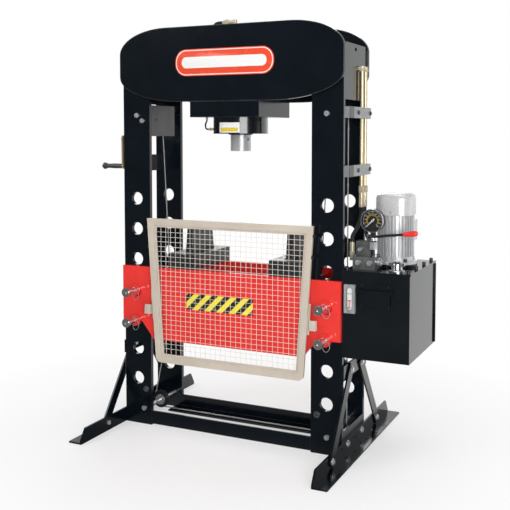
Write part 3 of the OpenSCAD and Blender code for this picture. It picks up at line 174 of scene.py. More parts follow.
# Rounded edges of the beige coat: lighter along them, a painted highlight; the darker flecks are
# worn spots
beige_edge_wear_and_highlight = surface(
    "beige_edge_wear_and_highlight", (0.60, 0.54, 0.46), (0.68, 0.62, 0.54), (0.36, 0.46),
    grain=800, peel=0.12, patch=24, fleck=((0.33, 0.26, 0.19), 0.72))
wire = surface(
    "beige_wire_coat", (0.72, 0.67, 0.61), (0.82, 0.77, 0.71), (0.35, 0.5),
    grain=900, peel=0.12, patch=30)
grey = surface(
    "grey_paint", (0.24, 0.245, 0.25), (0.32, 0.325, 0.33), (0.3, 0.42),
    grain=600, peel=0.12)
dark_grey = surface(
    "dark_grey_sheet", (0.030, 0.031, 0.033), (0.050, 0.051, 0.054), (0.32, 0.45),
    grain=500, peel=0.1)
clamp_grey = surface(
    "clamp_zinc", (0.26, 0.265, 0.27), (0.36, 0.365, 0.37), (0.3, 0.42),
    metal=0.45, grain=700, peel=0.1, patch=26)
tan = surface(
    "tan_crank_paint", (0.36, 0.26, 0.14), (0.46, 0.34, 0.19), (0.4, 0.55),
    grain=500, peel=0.15, patch=20, fleck=((0.22, 0.19, 0.16), 0.68))
zinc = surface(
    "bright_zinc", (0.60, 0.61, 0.63), (0.80, 0.81, 0.82), (0.2, 0.34),
    metal=0.75, grain=900, peel=0.06, patch=30)
steel = surface(
    "turned_steel", (0.40, 0.395, 0.39), (0.58, 0.575, 0.57), (0.2, 0.34),
    metal=0.8, grain=900, peel=0.08, patch=18, stretch=(1, 14, 1))
pin_steel = surface(
    "polished_pin_steel", (0.50, 0.49, 0.48), (0.66, 0.65, 0.64), (0.14, 0.26),
    metal=0.9, grain=900, peel=0.06, patch=18, stretch=(1, 14, 1))
chrome = surface(
    "bright_chrome", (0.62, 0.625, 0.63), (0.76, 0.765, 0.77), (0.08, 0.16),
    metal=0.95, grain=900, peel=0.03, patch=30)
valve_grey = surface(
    "phosphated_valve_steel", (0.12, 0.126, 0.126), (0.21, 0.217, 0.217), (0.28, 0.42),
    metal=0.5, grain=500, peel=0.12, patch=34)
dark_steel = surface(
    "oiled_steel", (0.07, 0.07, 0.072), (0.13, 0.13, 0.132), (0.26, 0.4),
    metal=0.6, grain=900, peel=0.1, patch=20)
ram_steel = surface(
    "ground_ram_chrome", (0.40, 0.41, 0.42), (0.52, 0.53, 0.54), (0.30, 0.40),
    metal=0.4, grain=900, peel=0.03, patch=12, stretch=(1, 1, 30))
cast = surface(
    "dark_forged_steel", (0.012, 0.0125, 0.0135), (0.024, 0.025, 0.0265), (0.34, 0.5),
    specular=0.45, grain=320, peel=0.25, patch=14)
# Rounded edges of the forged steel and the valve: lighter along them, a painted highlight; the grey
# flecks are worn spots
cast_edge_wear_and_highlight = surface(
    "forged_edge_wear_and_highlight", (0.05, 0.05, 0.05), (0.13, 0.13, 0.13), (0.3, 0.45),
    metal=0.4, patch=24, fleck=((0.3, 0.3, 0.3), 0.62))
alu = surface(
    "cast_aluminium", (0.58, 0.59, 0.60), (0.69, 0.70, 0.71), (0.3, 0.42),
    metal=0.45, grain=600, peel=0.15, patch=16)
fan_grey = surface(
    "fan_cover_paint", (0.62, 0.625, 0.625), (0.69, 0.695, 0.695), (0.22, 0.32),
    metal=0.25, grain=520, peel=0.08)
gold = surface(
    "yellow_zinc", (0.70, 0.57, 0.34), (0.84, 0.73, 0.52), (0.26, 0.36),
    metal=0.65, grain=700, peel=0.01, patch=22, stretch=(1, 1, 0.25))
brass = surface(
    "yellow_zinc_fitting", (0.56, 0.49, 0.33), (0.70, 0.64, 0.49), (0.32, 0.44),
    metal=0.5, grain=800, peel=0.03, patch=40)
rubber = surface(
    "hose_rubber", (0.010, 0.010, 0.010), (0.024, 0.024, 0.024), (0.42, 0.58),
    specular=0.35, grain=500, peel=0.3, patch=40)
plastic_red = surface(
    "red_grip_plastic", (0.72, 0.022, 0.016), (0.80, 0.034, 0.024), (0.2, 0.3),
    grain=300, peel=0.04)
badge_red = surface(
    "badge_orange_red", (0.76, 0.065, 0.022), (0.80, 0.08, 0.03), (0.22, 0.3),
    grain=400, peel=0.04, coat=0.3)
badge_white = surface(
    "badge_white", (0.81, 0.81, 0.80), (0.83, 0.83, 0.82), (0.30, 0.36),
    grain=400, peel=0.02)
dial_black = surface(
    "dial_black", (0.010, 0.010, 0.010), (0.016, 0.016, 0.016), (0.4, 0.5),
    grain=900, peel=0.06)
dial_yellow = surface(
    "dial_yellow", (0.66, 0.46, 0.03), (0.76, 0.55, 0.05), (0.35, 0.45),
    grain=900, peel=0.06)
dial_white = surface(
    "dial_white", (0.80, 0.80, 0.78), (0.88, 0.88, 0.86), (0.35, 0.45),
    grain=900, peel=0.06)
dial_red = surface(
    "dial_red", (0.62, 0.02, 0.015), (0.72, 0.03, 0.02), (0.35, 0.45),
    grain=900, peel=0.06)


ROPE_LAY, ROPE_TWIST = 150, 0.4
HAZARD_PITCH = 0.0655
GLASS_ALPHA, GLASS_TONE = 0.07, 1.04


def rope_material():
    """Steel with slanting bands for the strands, darker in the grooves between them: painted shade.
    """
    m, t, s = tree("wire_rope")
    s.inputs["Metallic"].default_value = 0.8
    coord = t.nodes.new("ShaderNodeTexCoord")
    lay = t.nodes.new("ShaderNodeTexWave")
    lay.bands_direction = "DIAGONAL"
    lay.inputs["Scale"].default_value = ROPE_LAY
    lay.inputs["Distortion"].default_value = ROPE_TWIST
    t.links.new(coord.outputs["Object"], lay.inputs["Vector"])
    # Darker where the lay wave is low, in the grooves between the strands: painted shade
    strands = mix(t, lay.outputs["Fac"], (0.22, 0.22, 0.225), (0.62, 0.62, 0.63))
    t.links.new(strands, s.inputs["Base Color"])
    t.links.new(spread(t, noise(t, 60), 0.3, 0.5), s.inputs["Roughness"])
    bump(t, s, lay.outputs["Fac"], 0.6, 0.0008)
    return m


def hazard_material():
    """Plain yellow and black diagonal bands."""
    m, t, s = tree("hazard_bands")
    coord = t.nodes.new("ShaderNodeTexCoord")
    xyz = t.nodes.new("ShaderNodeSeparateXYZ")
    t.links.new(coord.outputs["Object"], xyz.inputs[0])
    lean = math_node(t, "SUBTRACT", xyz.outputs["X"], xyz.outputs["Z"])
    part = math_node(t, "FRACT", math_node(t, "DIVIDE", lean, HAZARD_PITCH))
    side = math_node(t, "GREATER_THAN", part, 0.5)
    worn = spread(t, noise(t, 9), 0.0, 1.0)
    yellow = mix(t, worn, (0.90, 0.75, 0.014), (0.95, 0.82, 0.02))
    dark = mix(t, worn, (0.008, 0.008, 0.008), (0.016, 0.016, 0.016))
    t.links.new(mix(t, side, yellow, dark), s.inputs["Base Color"])
    t.links.new(spread(t, noise(t, 24), 0.3, 0.42), s.inputs["Roughness"])
    bump(t, s, noise(t, 500, 2.0), 0.05, 0.0003)
    return m


def glass_material(name, tint):
    """Thin clear cover that lets the light through to what is behind it."""
    m, t, s = tree(name)
    s.inputs["Alpha"].default_value = GLASS_ALPHA
    lighter = tuple(min(1, c * GLASS_TONE) for c in tint)
    t.links.new(mix(t, spread(t, noise(t, 12), 0, 1), tint, lighter), s.inputs["Base Color"])
    t.links.new(spread(t, noise(t, 40), 0.03, 0.08), s.inputs["Roughness"])
    return m


rope = rope_material()
hazard = hazard_material()
clear = glass_material("clear_glass", (0.030, 0.034, 0.034))


# CAD nodes: material, material of the rounded edges (a lighter tone there, a painted highlight,
# with worn spots), width of the rounding, and the nodes

LOOK = (
    (black, black_edge_wear_and_highlight, 0.0014, "front_uprights rear_uprights head_side_plates feet braces "
                                "brace_plates crossbars cylinder_block"),
    (black, black_edge_wear_and_highlight, 0.004, "head_front_plate head_rear_plate"),
    (barrel_black, black_edge_wear_and_highlight, 0.0012, "cylinder_barrel"),
    (black, black_edge_wear_and_highlight, 0.0012, "cylinder_cap motor_adapter"),
    (black_tank, black_edge_wear_and_highlight, 0.0016, "tank tank_lid tank_handle"),
    (satin_black, black_edge_wear_and_highlight, 0.0012, "pulley_top_left pulley_top_right pulley_low_left "
                                      "pulley_low_right"),
    (valve_grey, cast_edge_wear_and_highlight, 0.0012, "valve_block"),
    (satin_black, None, 0, "valve_lever gauge_case"),
    (red, red_edge_wear_and_highlight, 0.0015, "bed_front_plate bed_rear_plate bed_webs"),
    (beige, beige_edge_wear_and_highlight, 0.0028, "guard_frame"),
    (wire, None, 0, "guard_mesh"),
    (grey, None, 0, "level_gauge"),
    (dark_grey, None, 0, "winch_frame rope_cover"),
    (clamp_grey, None, 0, "pipe_clamps"),
    (tan, None, 0, "winch_crank"),
    (zinc, None, 0, "bolts"),
    (chrome, None, 0, "breather_cap"),
    (dark_steel, None, 0, "winch_grip"),
    (steel, None, 0, "cylinder_gland piston winch_drum motor_rotor"),
    (pin_steel, None, 0, "pin_upper_left pin_upper_right pin_lower_left pin_lower_right"),
    (ram_steel, None, 0, "ram"),
    (cast, cast_edge_wear_and_highlight, 0.0025, "v_blocks"),
    (cast, None, 0, "pump"),
    (alu, None, 0, "motor_housing"),
    (fan_grey, None, 0, "fan_cover"),
    (gold, None, 0, "pipes"),
    (brass, None, 0, "fittings"),
    (rubber, None, 0, "hoses guard_bumpers"),
    (plastic_red, None, 0, "lever_grip"),
    (rope, None, 0, "lift_cable level_cable"),
    (clear, None, 0, "level_glass gauge_glass"),
    (dial_white, None, 0, "gauge_pointer"),
)
SMOOTH_ANGLE = math.radians(35)
SWEPT_ANGLE = math.radians(60)
SWEPT = ("hoses", "lift_cable", "level_cable", "fan_cover")
PLACE_DIGITS = 6
WELD_REACH = 0.00001
FLAT_ANGLE = math.radians(0.5)
ROUND_ANGLE, ROUND_STEPS = math.radians(50), 3


def mark_sharp(mesh, limit):
    """Marks the edges where faces meet at more than limit.

    Faces that share only the places of their corners, and no edge, count as meeting.
    """
    place = [tuple(round(c, PLACE_DIGITS) for c in v.co) for v in mesh.vertices]
    faces = {}
    for p in mesh.polygons:
        for a, b in p.edge_keys:
            faces.setdefault(frozenset((place[a], place[b])), []).append(p.normal.copy())
    least = math.cos(limit)
    flags = []
    for e in mesh.edges:
        near = faces.get(frozenset((place[e.vertices[0]], place[e.vertices[1]])), [])
        flags.append(any(near[0].dot(n) < least for n in near[1:]))
    old = mesh.attributes.get("custom_normal")
    if old:
        mesh.attributes.remove(old)
    sharp = mesh.attributes.get("sharp_edge")
    if not sharp:
        sharp = mesh.attributes.new("sharp_edge", "BOOLEAN", "EDGE")
    sharp.data.foreach_set("value", flags)
    mesh.polygons.foreach_set("use_smooth", [True] * len(mesh.polygons))


def dress(name, material, edge, width):
    """Gives a CAD node its material and, with an edge material, rounded edges."""
    o = nodes[name]
    o.data.materials.clear()
    o.data.materials.append(material)
    mark_sharp(o.data, SWEPT_ANGLE if name in SWEPT else SMOOTH_ANGLE)
    weld = o.modifiers.new("weld", "WELD")
    weld.merge_threshold = WELD_REACH
    if edge:
        o.data.materials.append(edge)
        flat = o.modifiers.new("flat", "DECIMATE")
        flat.decimate_type = "DISSOLVE"
        flat.angle_limit = FLAT_ANGLE
        b = o.modifiers.new("edge", "BEVEL")
        b.width = width
        b.segments = ROUND_STEPS
        b.limit_method = "ANGLE"
        b.angle_limit = ROUND_ANGLE
        b.harden_normals = True
        b.material = 1


for material, edge, width, names in LOOK:
    for n in names.split():
        dress(n, material, edge, width)


# Pieces made here

UP, FRONT, BACK, RIGHT = (0, 0, 1), (0, -1, 0), (0, 1, 0), (1, 0, 0)
SIDES = (-1, 1)
PIECE_ANGLE = math.radians(32)
SMALL_CORNER = 4
TIP_R = 0.0002
WASHER_R, WASHER_H = 0.0155, 0.0022


def piece(name, body, bm, material):
    """Turns a shape into an object that rides on a body and has a material slot."""
    mesh = bpy.data.meshes.new(name)
    bmesh.ops.recalc_face_normals(bm, faces=bm.faces)
    bm.to_mesh(mesh)
    bm.free()
    mesh.materials.append(material)
    mesh.polygons.foreach_set("use_smooth", [True] * len(mesh.polygons))
    mesh.set_sharp_from_angle(angle=PIECE_ANGLE)
    o = bpy.data.objects.new(name, mesh)
    scene.collection.objects.link(o)
    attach(o, body)


def skin(bm, rows, ends=True, around=False):
    """Faces from row to row, over both ends, and around from the last row to the first."""
    n = len(rows[0])
    pairs = list(zip(rows, rows[1:]))
    if around:
        pairs.append((rows[-1], rows[0]))
    for a, b in pairs:
        for i in range(n):
            bm.faces.new((a[i], a[(i + 1) % n], b[(i + 1) % n], b[i]))
    if ends:
        bm.faces.new(rows[0])
        bm.faces.new(rows[-1])


def spoke(u, v, i, n):
    """Direction at step i of n on the full turn from u by way of v."""
    a = 2 * math.pi * i / n
    return u * math.cos(a) + v * math.sin(a)


def slab(bm, outline, y0, y1, edge=0.0):
    """Closed plate from y1 to its face at y0; edge rounds the rim of that face.

    The outline is a list of (x, z) points.
    """
    cx = sum(p[0] for p in outline) / len(outline)
    cz = sum(p[1] for p in outline) / len(outline)
    inward = math.copysign(edge, y1 - y0)
    steps = [(y1, 0), (y0, 0)]
    if edge:
        steps = [(y1, 0.0), (y0 + inward, 0.0), (y0 + inward * 0.3, edge * 0.35), (y0, edge)]
    rows = []
    for y, inset in steps:
        row = []
        for x, z in outline:
            d = math.hypot(x - cx, z - cz)
            k = (d - inset) / d
            row.append(bm.verts.new((cx + (x - cx) * k, y, cz + (z - cz) * k)))
        rows.append(row)
    skin(bm, rows)


def pill(x0, x1, z0, z1, r, n=12):
    """Outline of a rectangle with corners of radius r, in n steps each."""
    corners = ((x1 - r, z1 - r, 0), (x0 + r, z1 - r, 90),
               (x0 + r, z0 + r, 180), (x1 - r, z0 + r, 270))
    points = []
    for cx, cz, a0 in corners:
        for i in range(n + 1):
            a = math.radians(a0 + 90 * i / n)
            points.append((cx + r * math.cos(a), cz + r * math.sin(a)))
    return points


def tube(bm, points, radius, side, closed=False, n=8):
    """Round wire along points; side is a direction the wire never follows."""
    rows = []
    last = len(points) - 1
    for i, p in enumerate(points):
        before = points[i - 1] if closed or i else points[0]
        after = points[(i + 1) % len(points)] if closed or i < last else points[last]
        along = (Vector(after) - Vector(before)).normalized()
        u = along.cross(Vector(side)).normalized()
        v = u.cross(along)
        rows.append([bm.verts.new(Vector(p) + spoke(u, v, j, n) * radius) for j in range(n)])
    skin(bm, rows, not closed, closed)


def circle(centre, axis, radius, n):
    axis = Vector(axis).normalized()
    u = axis.orthogonal().normalized()
    v = axis.cross(u)
    return [Vector(centre) + spoke(u, v, i, n) * radius for i in range(n)]


def ring(bm, centre, axis, radius, wire_r, n, m=8):
    """Round wire with m sides, bent to a circle of n steps."""
    tube(bm, circle(centre, axis, radius, n), wire_r, axis, True, m)


def lathe(bm, centre, axis, profile, n, ends=True):
    """Turned shape with n sides; profile is (radius, along the axis) from end to end."""
    axis = Vector(axis).normalized()
    rows = []
    for r, h in profile:
        rows.append([bm.verts.new(p) for p in circle(Vector(centre) + axis * h, axis, r, n)])
    skin(bm, rows, ends)


def screw(bm, centre, axis, r, h):
    """Domed screw head with a round socket."""
    lathe(bm, centre, axis, [(r, 0), (r, h * 0.6), (r * 0.82, h), (r * 0.5, h),
                             (r * 0.45, h * 0.45), (TIP_R, h * 0.4)], 20)


def cap_screw(bm, x, y, z, r, h):
    """Upright socket screw with a chamfered top."""
    lathe(bm, (x, y, z), UP, [(r, 0), (r, h), (r * 0.9, h + 0.0014), (r * 0.55, h + 0.0014),
                              (r * 0.5, h + 0.0003), (TIP_R, h + 0.0002)], 28)


def nut(bm, centre, axis, start, r, h):
    """Hexagon head with a corner towards start and a chamfered top."""
    axis = Vector(axis)
    u = Vector(start)
    v = axis.cross(u)
    rows = []
    for k, along in ((1.0, 0.0), (1.0, h * 0.8), (0.86, h)):
        middle = Vector(centre) + axis * along
        rows.append([bm.verts.new(middle + spoke(u, v, i, 6) * r * k) for i in range(6)])
    skin(bm, rows)


def washer(bm, centre, axis):
    r, h = WASHER_R, WASHER_H
    lathe(bm, centre, axis, [(r, 0), (r, h * 0.7), (r * 0.95, h), (r * 0.4, h)], 28)


# Plain plate on the head, with nothing written on it
head_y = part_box("head_front_plate")[0].y
PLATE_X, PLATE_Z, PLATE_W, PLATE_H = -0.0075, 1.785, 0.514, 0.126
PLATE_CORNER = 0.92
LAYER_T, LAYER_EDGE = 0.0016, 0.0006
# Name, margin at the ends, height, distance from the head, material
LAYERS = (
    ("head_badge_rim", 0.0, PLATE_H, 0.0014, badge_red),
    ("head_badge_line", 0.0045, PLATE_H - 0.009, 0.0020, badge_white),
    ("head_badge_field", 0.0085, PLATE_H - 0.017, 0.0026, badge_red),
    ("head_badge_band", 0.036, 0.052, 0.0032, badge_white),
)
for name, margin, height, out, material in LAYERS:
    w = PLATE_W / 2 - margin
    h = height / 2
    outline = pill(PLATE_X - w, PLATE_X + w, PLATE_Z - h, PLATE_Z + h, h * PLATE_CORNER)
    bm = bmesh.new()
    slab(bm, outline, head_y - out, head_y - max(out - LAYER_T, 0), LAYER_EDGE)
    piece(name, "frame", bm, material)

# Yellow and black band on the bed
bed_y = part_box("bed_rear_plate")[1].y * -1
BAND = pill(-0.210, 0.144, 0.606, 0.683, 0.004, SMALL_CORNER)
BAND_T, BAND_EDGE = 0.0008, 0.0003
bm = bmesh.new()
slab(bm, BAND, bed_y - BAND_T, bed_y, BAND_EDGE)
piece("bed_band", "bed", bm, hazard)

# Red collars where the bed pins enter the plate, rims round their knobs, and wire clips that
# hang through the pull rods close to the plate
ROD_R = 0.0155
COLLAR_GAP = 0.0003
COLLAR = [(ROD_R, 0), (0.0300, 0), (0.0300, 0.0072), (0.0288, 0.0084), (ROD_R, 0.0084),
          (ROD_R, 0)]
RIM = [(0.0195, 0.0008), (0.0212, 0.0008), (0.0228, 0.0026), (0.0228, 0.0152),
       (0.0212, 0.0170), (0.0195, 0.0170), (0.0195, 0.0008)]
CLIP_BACK = 0.070
CLIP_WIRE_R = 0.0013
CLIP_SIDE = (0, 1, 0.3)
# Bow of the clip: middle beside the pin, half width, forward lean, gap under the rod, drop
CLIP_X, CLIP_W, CLIP_LEAN, CLIP_GAP, CLIP_DROP = 0.014, 0.017, 0.004, 0.004, 0.026
# Straight end of the clip: start and reach past the rod, and the end under the rod
CLIP_START, CLIP_REACH, CLIP_END = 0.004, 0.006, -0.002
for height in ("upper", "lower"):
    for hand in ("left", "right"):
        low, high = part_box(f"pin_{height}_{hand}")
        x = (low.x + high.x) / 2
        z = (low.z + high.z) / 2
        body = f"{height}_{hand}_pin"
        bm = bmesh.new()
        lathe(bm, (x, bed_y - COLLAR_GAP, z), FRONT, COLLAR, 64, False)
        piece(f"pin_{height}_{hand}_collar", body, bm, red)
        bm = bmesh.new()
        lathe(bm, (x, low.y, z), BACK, RIM, 48, False)
        piece(f"pin_{height}_{hand}_rim", body, bm, pin_steel)
        y = low.y + CLIP_BACK
        loop = [(x + CLIP_START, y, z), (x + ROD_R + CLIP_REACH, y, z)]
        for degrees in range(0, 181, 15):
            a = math.radians(degrees)
            loop.append((x + CLIP_X + CLIP_W * math.cos(a), y - CLIP_LEAN * math.sin(a),
                         z - ROD_R - CLIP_GAP - CLIP_DROP * math.sin(a)))
        loop.append((x + CLIP_END, y, z - ROD_R))
        bm = bmesh.new()
        tube(bm, loop, CLIP_WIRE_R, CLIP_SIDE, True)
        ring(bm, (x, y, z), BACK, ROD_R, CLIP_WIRE_R, 40)
        piece(f"pin_{height}_{hand}_clip", body, bm, zinc)

# Solid faces of the side ears of the guard, open below for the pegs
GUARD_X, PEG_OUT = 0.018, 0.430
EAR_Z, EAR_HALF, EAR_RISE = 0.5926, 0.022, 0.003
EAR_Z0, EAR_Z1 = EAR_Z - EAR_HALF, EAR_Z + EAR_HALF + EAR_RISE
EAR_Y0, EAR_Y1, EAR_EDGE = -0.2078, -0.2052, 0.001
EAR_CUT_X, EAR_CUT_Z = 0.004, 0.012
EAR_IN, EAR_OUT_LEFT, EAR_OUT_RIGHT = 0.014, 0.019, 0.0175
bm = bmesh.new()
for left, x0, x1 in ((True, GUARD_X - PEG_OUT - EAR_OUT_LEFT, GUARD_X - PEG_OUT + EAR_IN),
                     (False, GUARD_X + PEG_OUT - EAR_IN, GUARD_X + PEG_OUT + EAR_OUT_RIGHT)):
    right = not left
    outline = [(x0, EAR_Z0), (x1, EAR_Z0),
               (x1, EAR_Z1 - EAR_CUT_Z * right), (x1 - EAR_CUT_X * right, EAR_Z1),
               (x0 + EAR_CUT_X * left, EAR_Z1), (x0, EAR_Z1 - EAR_CUT_Z * left)]
    slab(bm, outline, EAR_Y0, EAR_Y1, EAR_EDGE)
piece("guard_ear_faces", "guard", bm, beige)

# Pressure gauge: dial, bezel and nut
gauge_low, gauge_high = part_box("gauge_glass")
gx = (gauge_low.x + gauge_high.x) / 2
gz = (gauge_low.z + gauge_high.z) / 2
DIAL_Y, BEZEL_Y, STEM_Y = -0.106, -0.120, -0.094
DIAL = [(0.0455, 0.0001), (0.0455, 0.0006), (0.0452, 0.0008), (0.001, 0.0008)]
BEZEL = [(0.0465, -0.003), (0.0465, 0.0), (0.049, 0.0022), (0.0515, 0.0016),
         (0.0528, -0.001), (0.0528, -0.009), (0.0521, -0.010), (0.0521, -0.004),
         (0.0490, -0.003), (0.0465, -0.003)]
STEM = [(0.0095, 0), (0.0095, 0.010), (0.0085, 0.012)]
STEM_Z, NUT_Z, NUT_R, NUT_H = 0.9780, 0.9385, 0.0176, 0.0395
bm = bmesh.new()
lathe(bm, (gx, DIAL_Y, gz), FRONT, DIAL, 48)
piece("gauge_dial", "frame", bm, dial_black)
bm = bmesh.new()
lathe(bm, (gx, BEZEL_Y, gz), FRONT, BEZEL, 64, False)
piece("gauge_bezel", "frame", bm, chrome)
bm = bmesh.new()
nut(bm, (gx, STEM_Y, NUT_Z), UP, RIGHT, NUT_R, NUT_H)
lathe(bm, (gx, STEM_Y, STEM_Z), UP, STEM, 24)
piece("gauge_nut", "frame", bm, zinc)

# Marks and plain numbers on the dial, by their turn in degrees from the first mark
DIAL_START, DIAL_SWEEP = 225, 270
MARKS, LONG_EVERY, NUMBERS, NUMBER_STEP = 50, 5, 10, 50
MARK_OUT, MARK_T = 0.0009, 0.0003
LONG_MARK, SHORT_MARK = (0.0375, 0.0435, 0.0008), (0.0395, 0.0435, 0.0004)
RING_PARTS, RING_MARK = 100, (0.0205, 0.0282, 0.00095)
LIMIT_AT, LIMIT_MARK = 40, (0.0290, 0.0440, 0.0011)
NUMBER_R, NUMBER_OUT, NUMBER_SIZE = 0.0325, 0.0012, 0.0062


def dial_angle(part, parts):
    return math.radians(DIAL_START - DIAL_SWEEP * part / parts)


def mark(bm, a, r0, r1, w):
    """Thin bar on the dial along angle a, from r0 to r1, with half width w."""
    d = Vector((math.cos(a), 0, math.sin(a)))
    s = Vector((-math.sin(a), 0, math.cos(a)))
    c = Vector((gx, DIAL_Y - MARK_OUT, gz))
    quad = [c + d * r0 - s * w, c + d * r1 - s * w, c + d * r1 + s * w, c + d * r0 + s * w]
    lower = [bm.verts.new(q) for q in quad]
    upper = [bm.verts.new(q - Vector((0, MARK_T, 0))) for q in quad]
    skin(bm, [lower, upper])


def number(bm, text, a):
    """Flat figures of a number, upright on the dial at angle a."""
    label = bpy.data.curves.new("number", "FONT")
    label.body = text
    label.size = NUMBER_SIZE
    label.align_x = "CENTER"
    label.align_y = "CENTER"
    holder = bpy.data.objects.new("number", label)
    scene.collection.objects.link(holder)
    bpy.context.view_layer.update()
    graph = bpy.context.evaluated_depsgraph_get()
    flat = bpy.data.meshes.new_from_object(holder.evaluated_get(graph))
    place = Vector((gx + NUMBER_R * math.cos(a), DIAL_Y - NUMBER_OUT, gz + NUMBER_R * math.sin(a)))
    flat.transform(Matrix.Translation(place) @ Matrix.Rotation(math.pi / 2, 4, "X"))
    bm.from_mesh(flat)
    bpy.data.objects.remove(holder)
    bpy.data.curves.remove(label)
    bpy.data.meshes.remove(flat)


bm = bmesh.new()
for i in range(MARKS + 1):
    mark(bm, dial_angle(i, MARKS), *(SHORT_MARK if i % LONG_EVERY else LONG_MARK))
for i in range(NUMBERS + 1):
    number(bm, str(NUMBER_STEP * i), dial_angle(i, NUMBERS))
piece("gauge_scale", "frame", bm, dial_white)
bm = bmesh.new()
for i in range(RING_PARTS):
    mark(bm, dial_angle(i + 0.5, RING_PARTS), *RING_MARK)
piece("gauge_ring", "frame", bm, dial_yellow)
bm = bmesh.new()
mark(bm, dial_angle(LIMIT_AT, MARKS), *LIMIT_MARK)
piece("gauge_limit_mark", "frame", bm, dial_red)

# Level gauge: pale plate behind the glass, red line and two marks on it
sight_low, sight_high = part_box("level_glass")
sx = (sight_low.x + sight_high.x) / 2
SIGHT_MARGIN = 0.002
SIGHT_R = (sight_high.x - sight_low.x) / 2 - SIGHT_MARGIN
SIGHT_CORNER = 0.96
SIGHT_Y0, SIGHT_Y1 = sight_high.y - 0.0022, sight_high.y - 0.0004
SIGHT_EDGE = 0.0004
INK_T = 0.0004
# Half width, foot and top above the foot of the glass, corner
LINE_BAR, LINE_TOP = (0.0016, 0.008, 0.042, 0.0015), (0.009, 0.042, 0.0455, 0.0015)
MARK_FEET, MARK_HALF, MARK_H, MARK_CORNER = (0.012, 0.074), 0.011, 0.0016, 0.0007


def sight_ink(bm, half, z0, z1, corner, n):
    slab(bm, pill(sx - half, sx + half, sight_low.z + z0, sight_low.z + z1, corner, n),
         sight_low.y - INK_T, sight_low.y + INK_T)


bm = bmesh.new()
slab(bm, pill(sx - SIGHT_R, sx + SIGHT_R, sight_low.z + SIGHT_MARGIN,
              sight_high.z - SIGHT_MARGIN, SIGHT_R * SIGHT_CORNER),
     SIGHT_Y0, SIGHT_Y1, SIGHT_EDGE)
piece("level_back", "frame", bm, badge_white)
bm = bmesh.new()
for bar in (LINE_BAR, LINE_TOP):
    sight_ink(bm, *bar, SMALL_CORNER)
piece("level_line", "frame", bm, dial_red)
bm = bmesh.new()
for foot in MARK_FEET:
    sight_ink(bm, MARK_HALF, foot, foot + MARK_H, MARK_CORNER, 2)
piece("level_marks", "frame", bm, dial_black)

# Rivets of the handle plate
RIVET = [(0.0045, 0), (0.0043, 0.0012), (0.003, 0.0024), (0.0004, 0.0029)]
RIVET_Y = -0.163
bm = bmesh.new()
for x in (0.664, 0.784):
    for z in (0.786, 0.696):
        lathe(bm, (x, RIVET_Y, z), FRONT, RIVET, 20)
piece("handle_rivets", "frame", bm, black_bolt)

# Screws and plugs of the valve
VALVE_TOP, VALVE_FRONT = 0.905, -0.1150
VALVE_SCREW_R, VALVE_SCREW_H = 0.0062, 0.007
PLUG_Z, PLUG_R, PLUG_H = 0.878, 0.0133, 0.0096
SMALL_PLUG_AT, SIDE_PLUG_AT = (0.633, -0.0965, 0.936), (0.7060, -0.057, PLUG_Z)
SMALL_PLUG = [(0.0093, 0), (0.0093, 0.0100), (0.0085, 0.0122), (0.0040, 0.0122),
              (0.0036, 0.0117)]
SIDE_PLUG = [(0.0193, 0.0005), (0.0193, 0.0125), (0.0180, 0.0145), (0.0080, 0.0145),
             (0.0072, 0.0141)]
bm = bmesh.new()
for x in (0.613, 0.697):
    for y in (-0.106, -0.034):
        screw(bm, (x, y, VALVE_TOP), UP, VALVE_SCREW_R, VALVE_SCREW_H)
piece("valve_screws", "frame", bm, dark_steel)
bm = bmesh.new()
for x in (0.629, 0.682):
    nut(bm, (x, VALVE_FRONT, PLUG_Z), FRONT, RIGHT, PLUG_R, PLUG_H)
lathe(bm, SMALL_PLUG_AT, FRONT, SMALL_PLUG, 28)
lathe(bm, SIDE_PLUG_AT, RIGHT, SIDE_PLUG, 36)
piece("valve_plugs", "frame", bm, zinc)

# Cover of the terminal box, its screws and those of the fan cover
box_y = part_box("motor_housing")[1].y
COVER_OUT, COVER_EDGE = 0.0045, 0.0018
COVER = pill(0.7205, 0.8135, 0.9575, 1.0515, 0.008)
RAISED_IN, RAISED_OUT, RAISED_EDGE = 0.004, 0.0065, 0.0012
RAISED = pill(0.728, 0.806, 0.965, 1.044, 0.006)
COVER_SCREW_R, COVER_SCREW_H = 0.0034, 0.0025
MOTOR_X, MOTOR_Y = 0.748, 0.074
COWL_Z, COWL_HALF, COWL_SINK = 1.098, 0.084, 0.0006
COWL_SCREW_R, COWL_SCREW_H = 0.0048, 0.0035
bm = bmesh.new()
slab(bm, COVER, box_y + COVER_OUT, box_y, COVER_EDGE)
slab(bm, RAISED, box_y + RAISED_OUT, box_y + RAISED_IN, RAISED_EDGE)
piece("terminal_cover", "frame", bm, fan_grey)
bm = bmesh.new()
for x in (0.7262, 0.8078):
    for z in (0.9632, 1.0458):
        screw(bm, (x, box_y + COVER_OUT, z), BACK, COVER_SCREW_R, COVER_SCREW_H)
for dx, dy in ((1, 0), (-1, 0), (0, 1), (0, -1)):
    out = COWL_HALF - COWL_SINK
    screw(bm, (MOTOR_X + dx * out, MOTOR_Y + dy * out, COWL_Z), (dx, dy, 0),
          COWL_SCREW_R, COWL_SCREW_H)
piece("motor_screws", "frame", bm, zinc)

# Washers under the frame bolts: distance out from the foot, across it, and height
foot_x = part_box("feet")[1].x - 0.070
WASHERS = ((0.016, 0.074, 0.382), (0.016, 0.320, 0.040), (0.008, 0.100, 0.046))
bm = bmesh.new()
for s in SIDES:
    for t in SIDES:
        for out, across, z in WASHERS:
            washer(bm, (s * (foot_x + out), t * across, z), (s, 0, 0))
piece("frame_washers", "frame", bm, zinc)

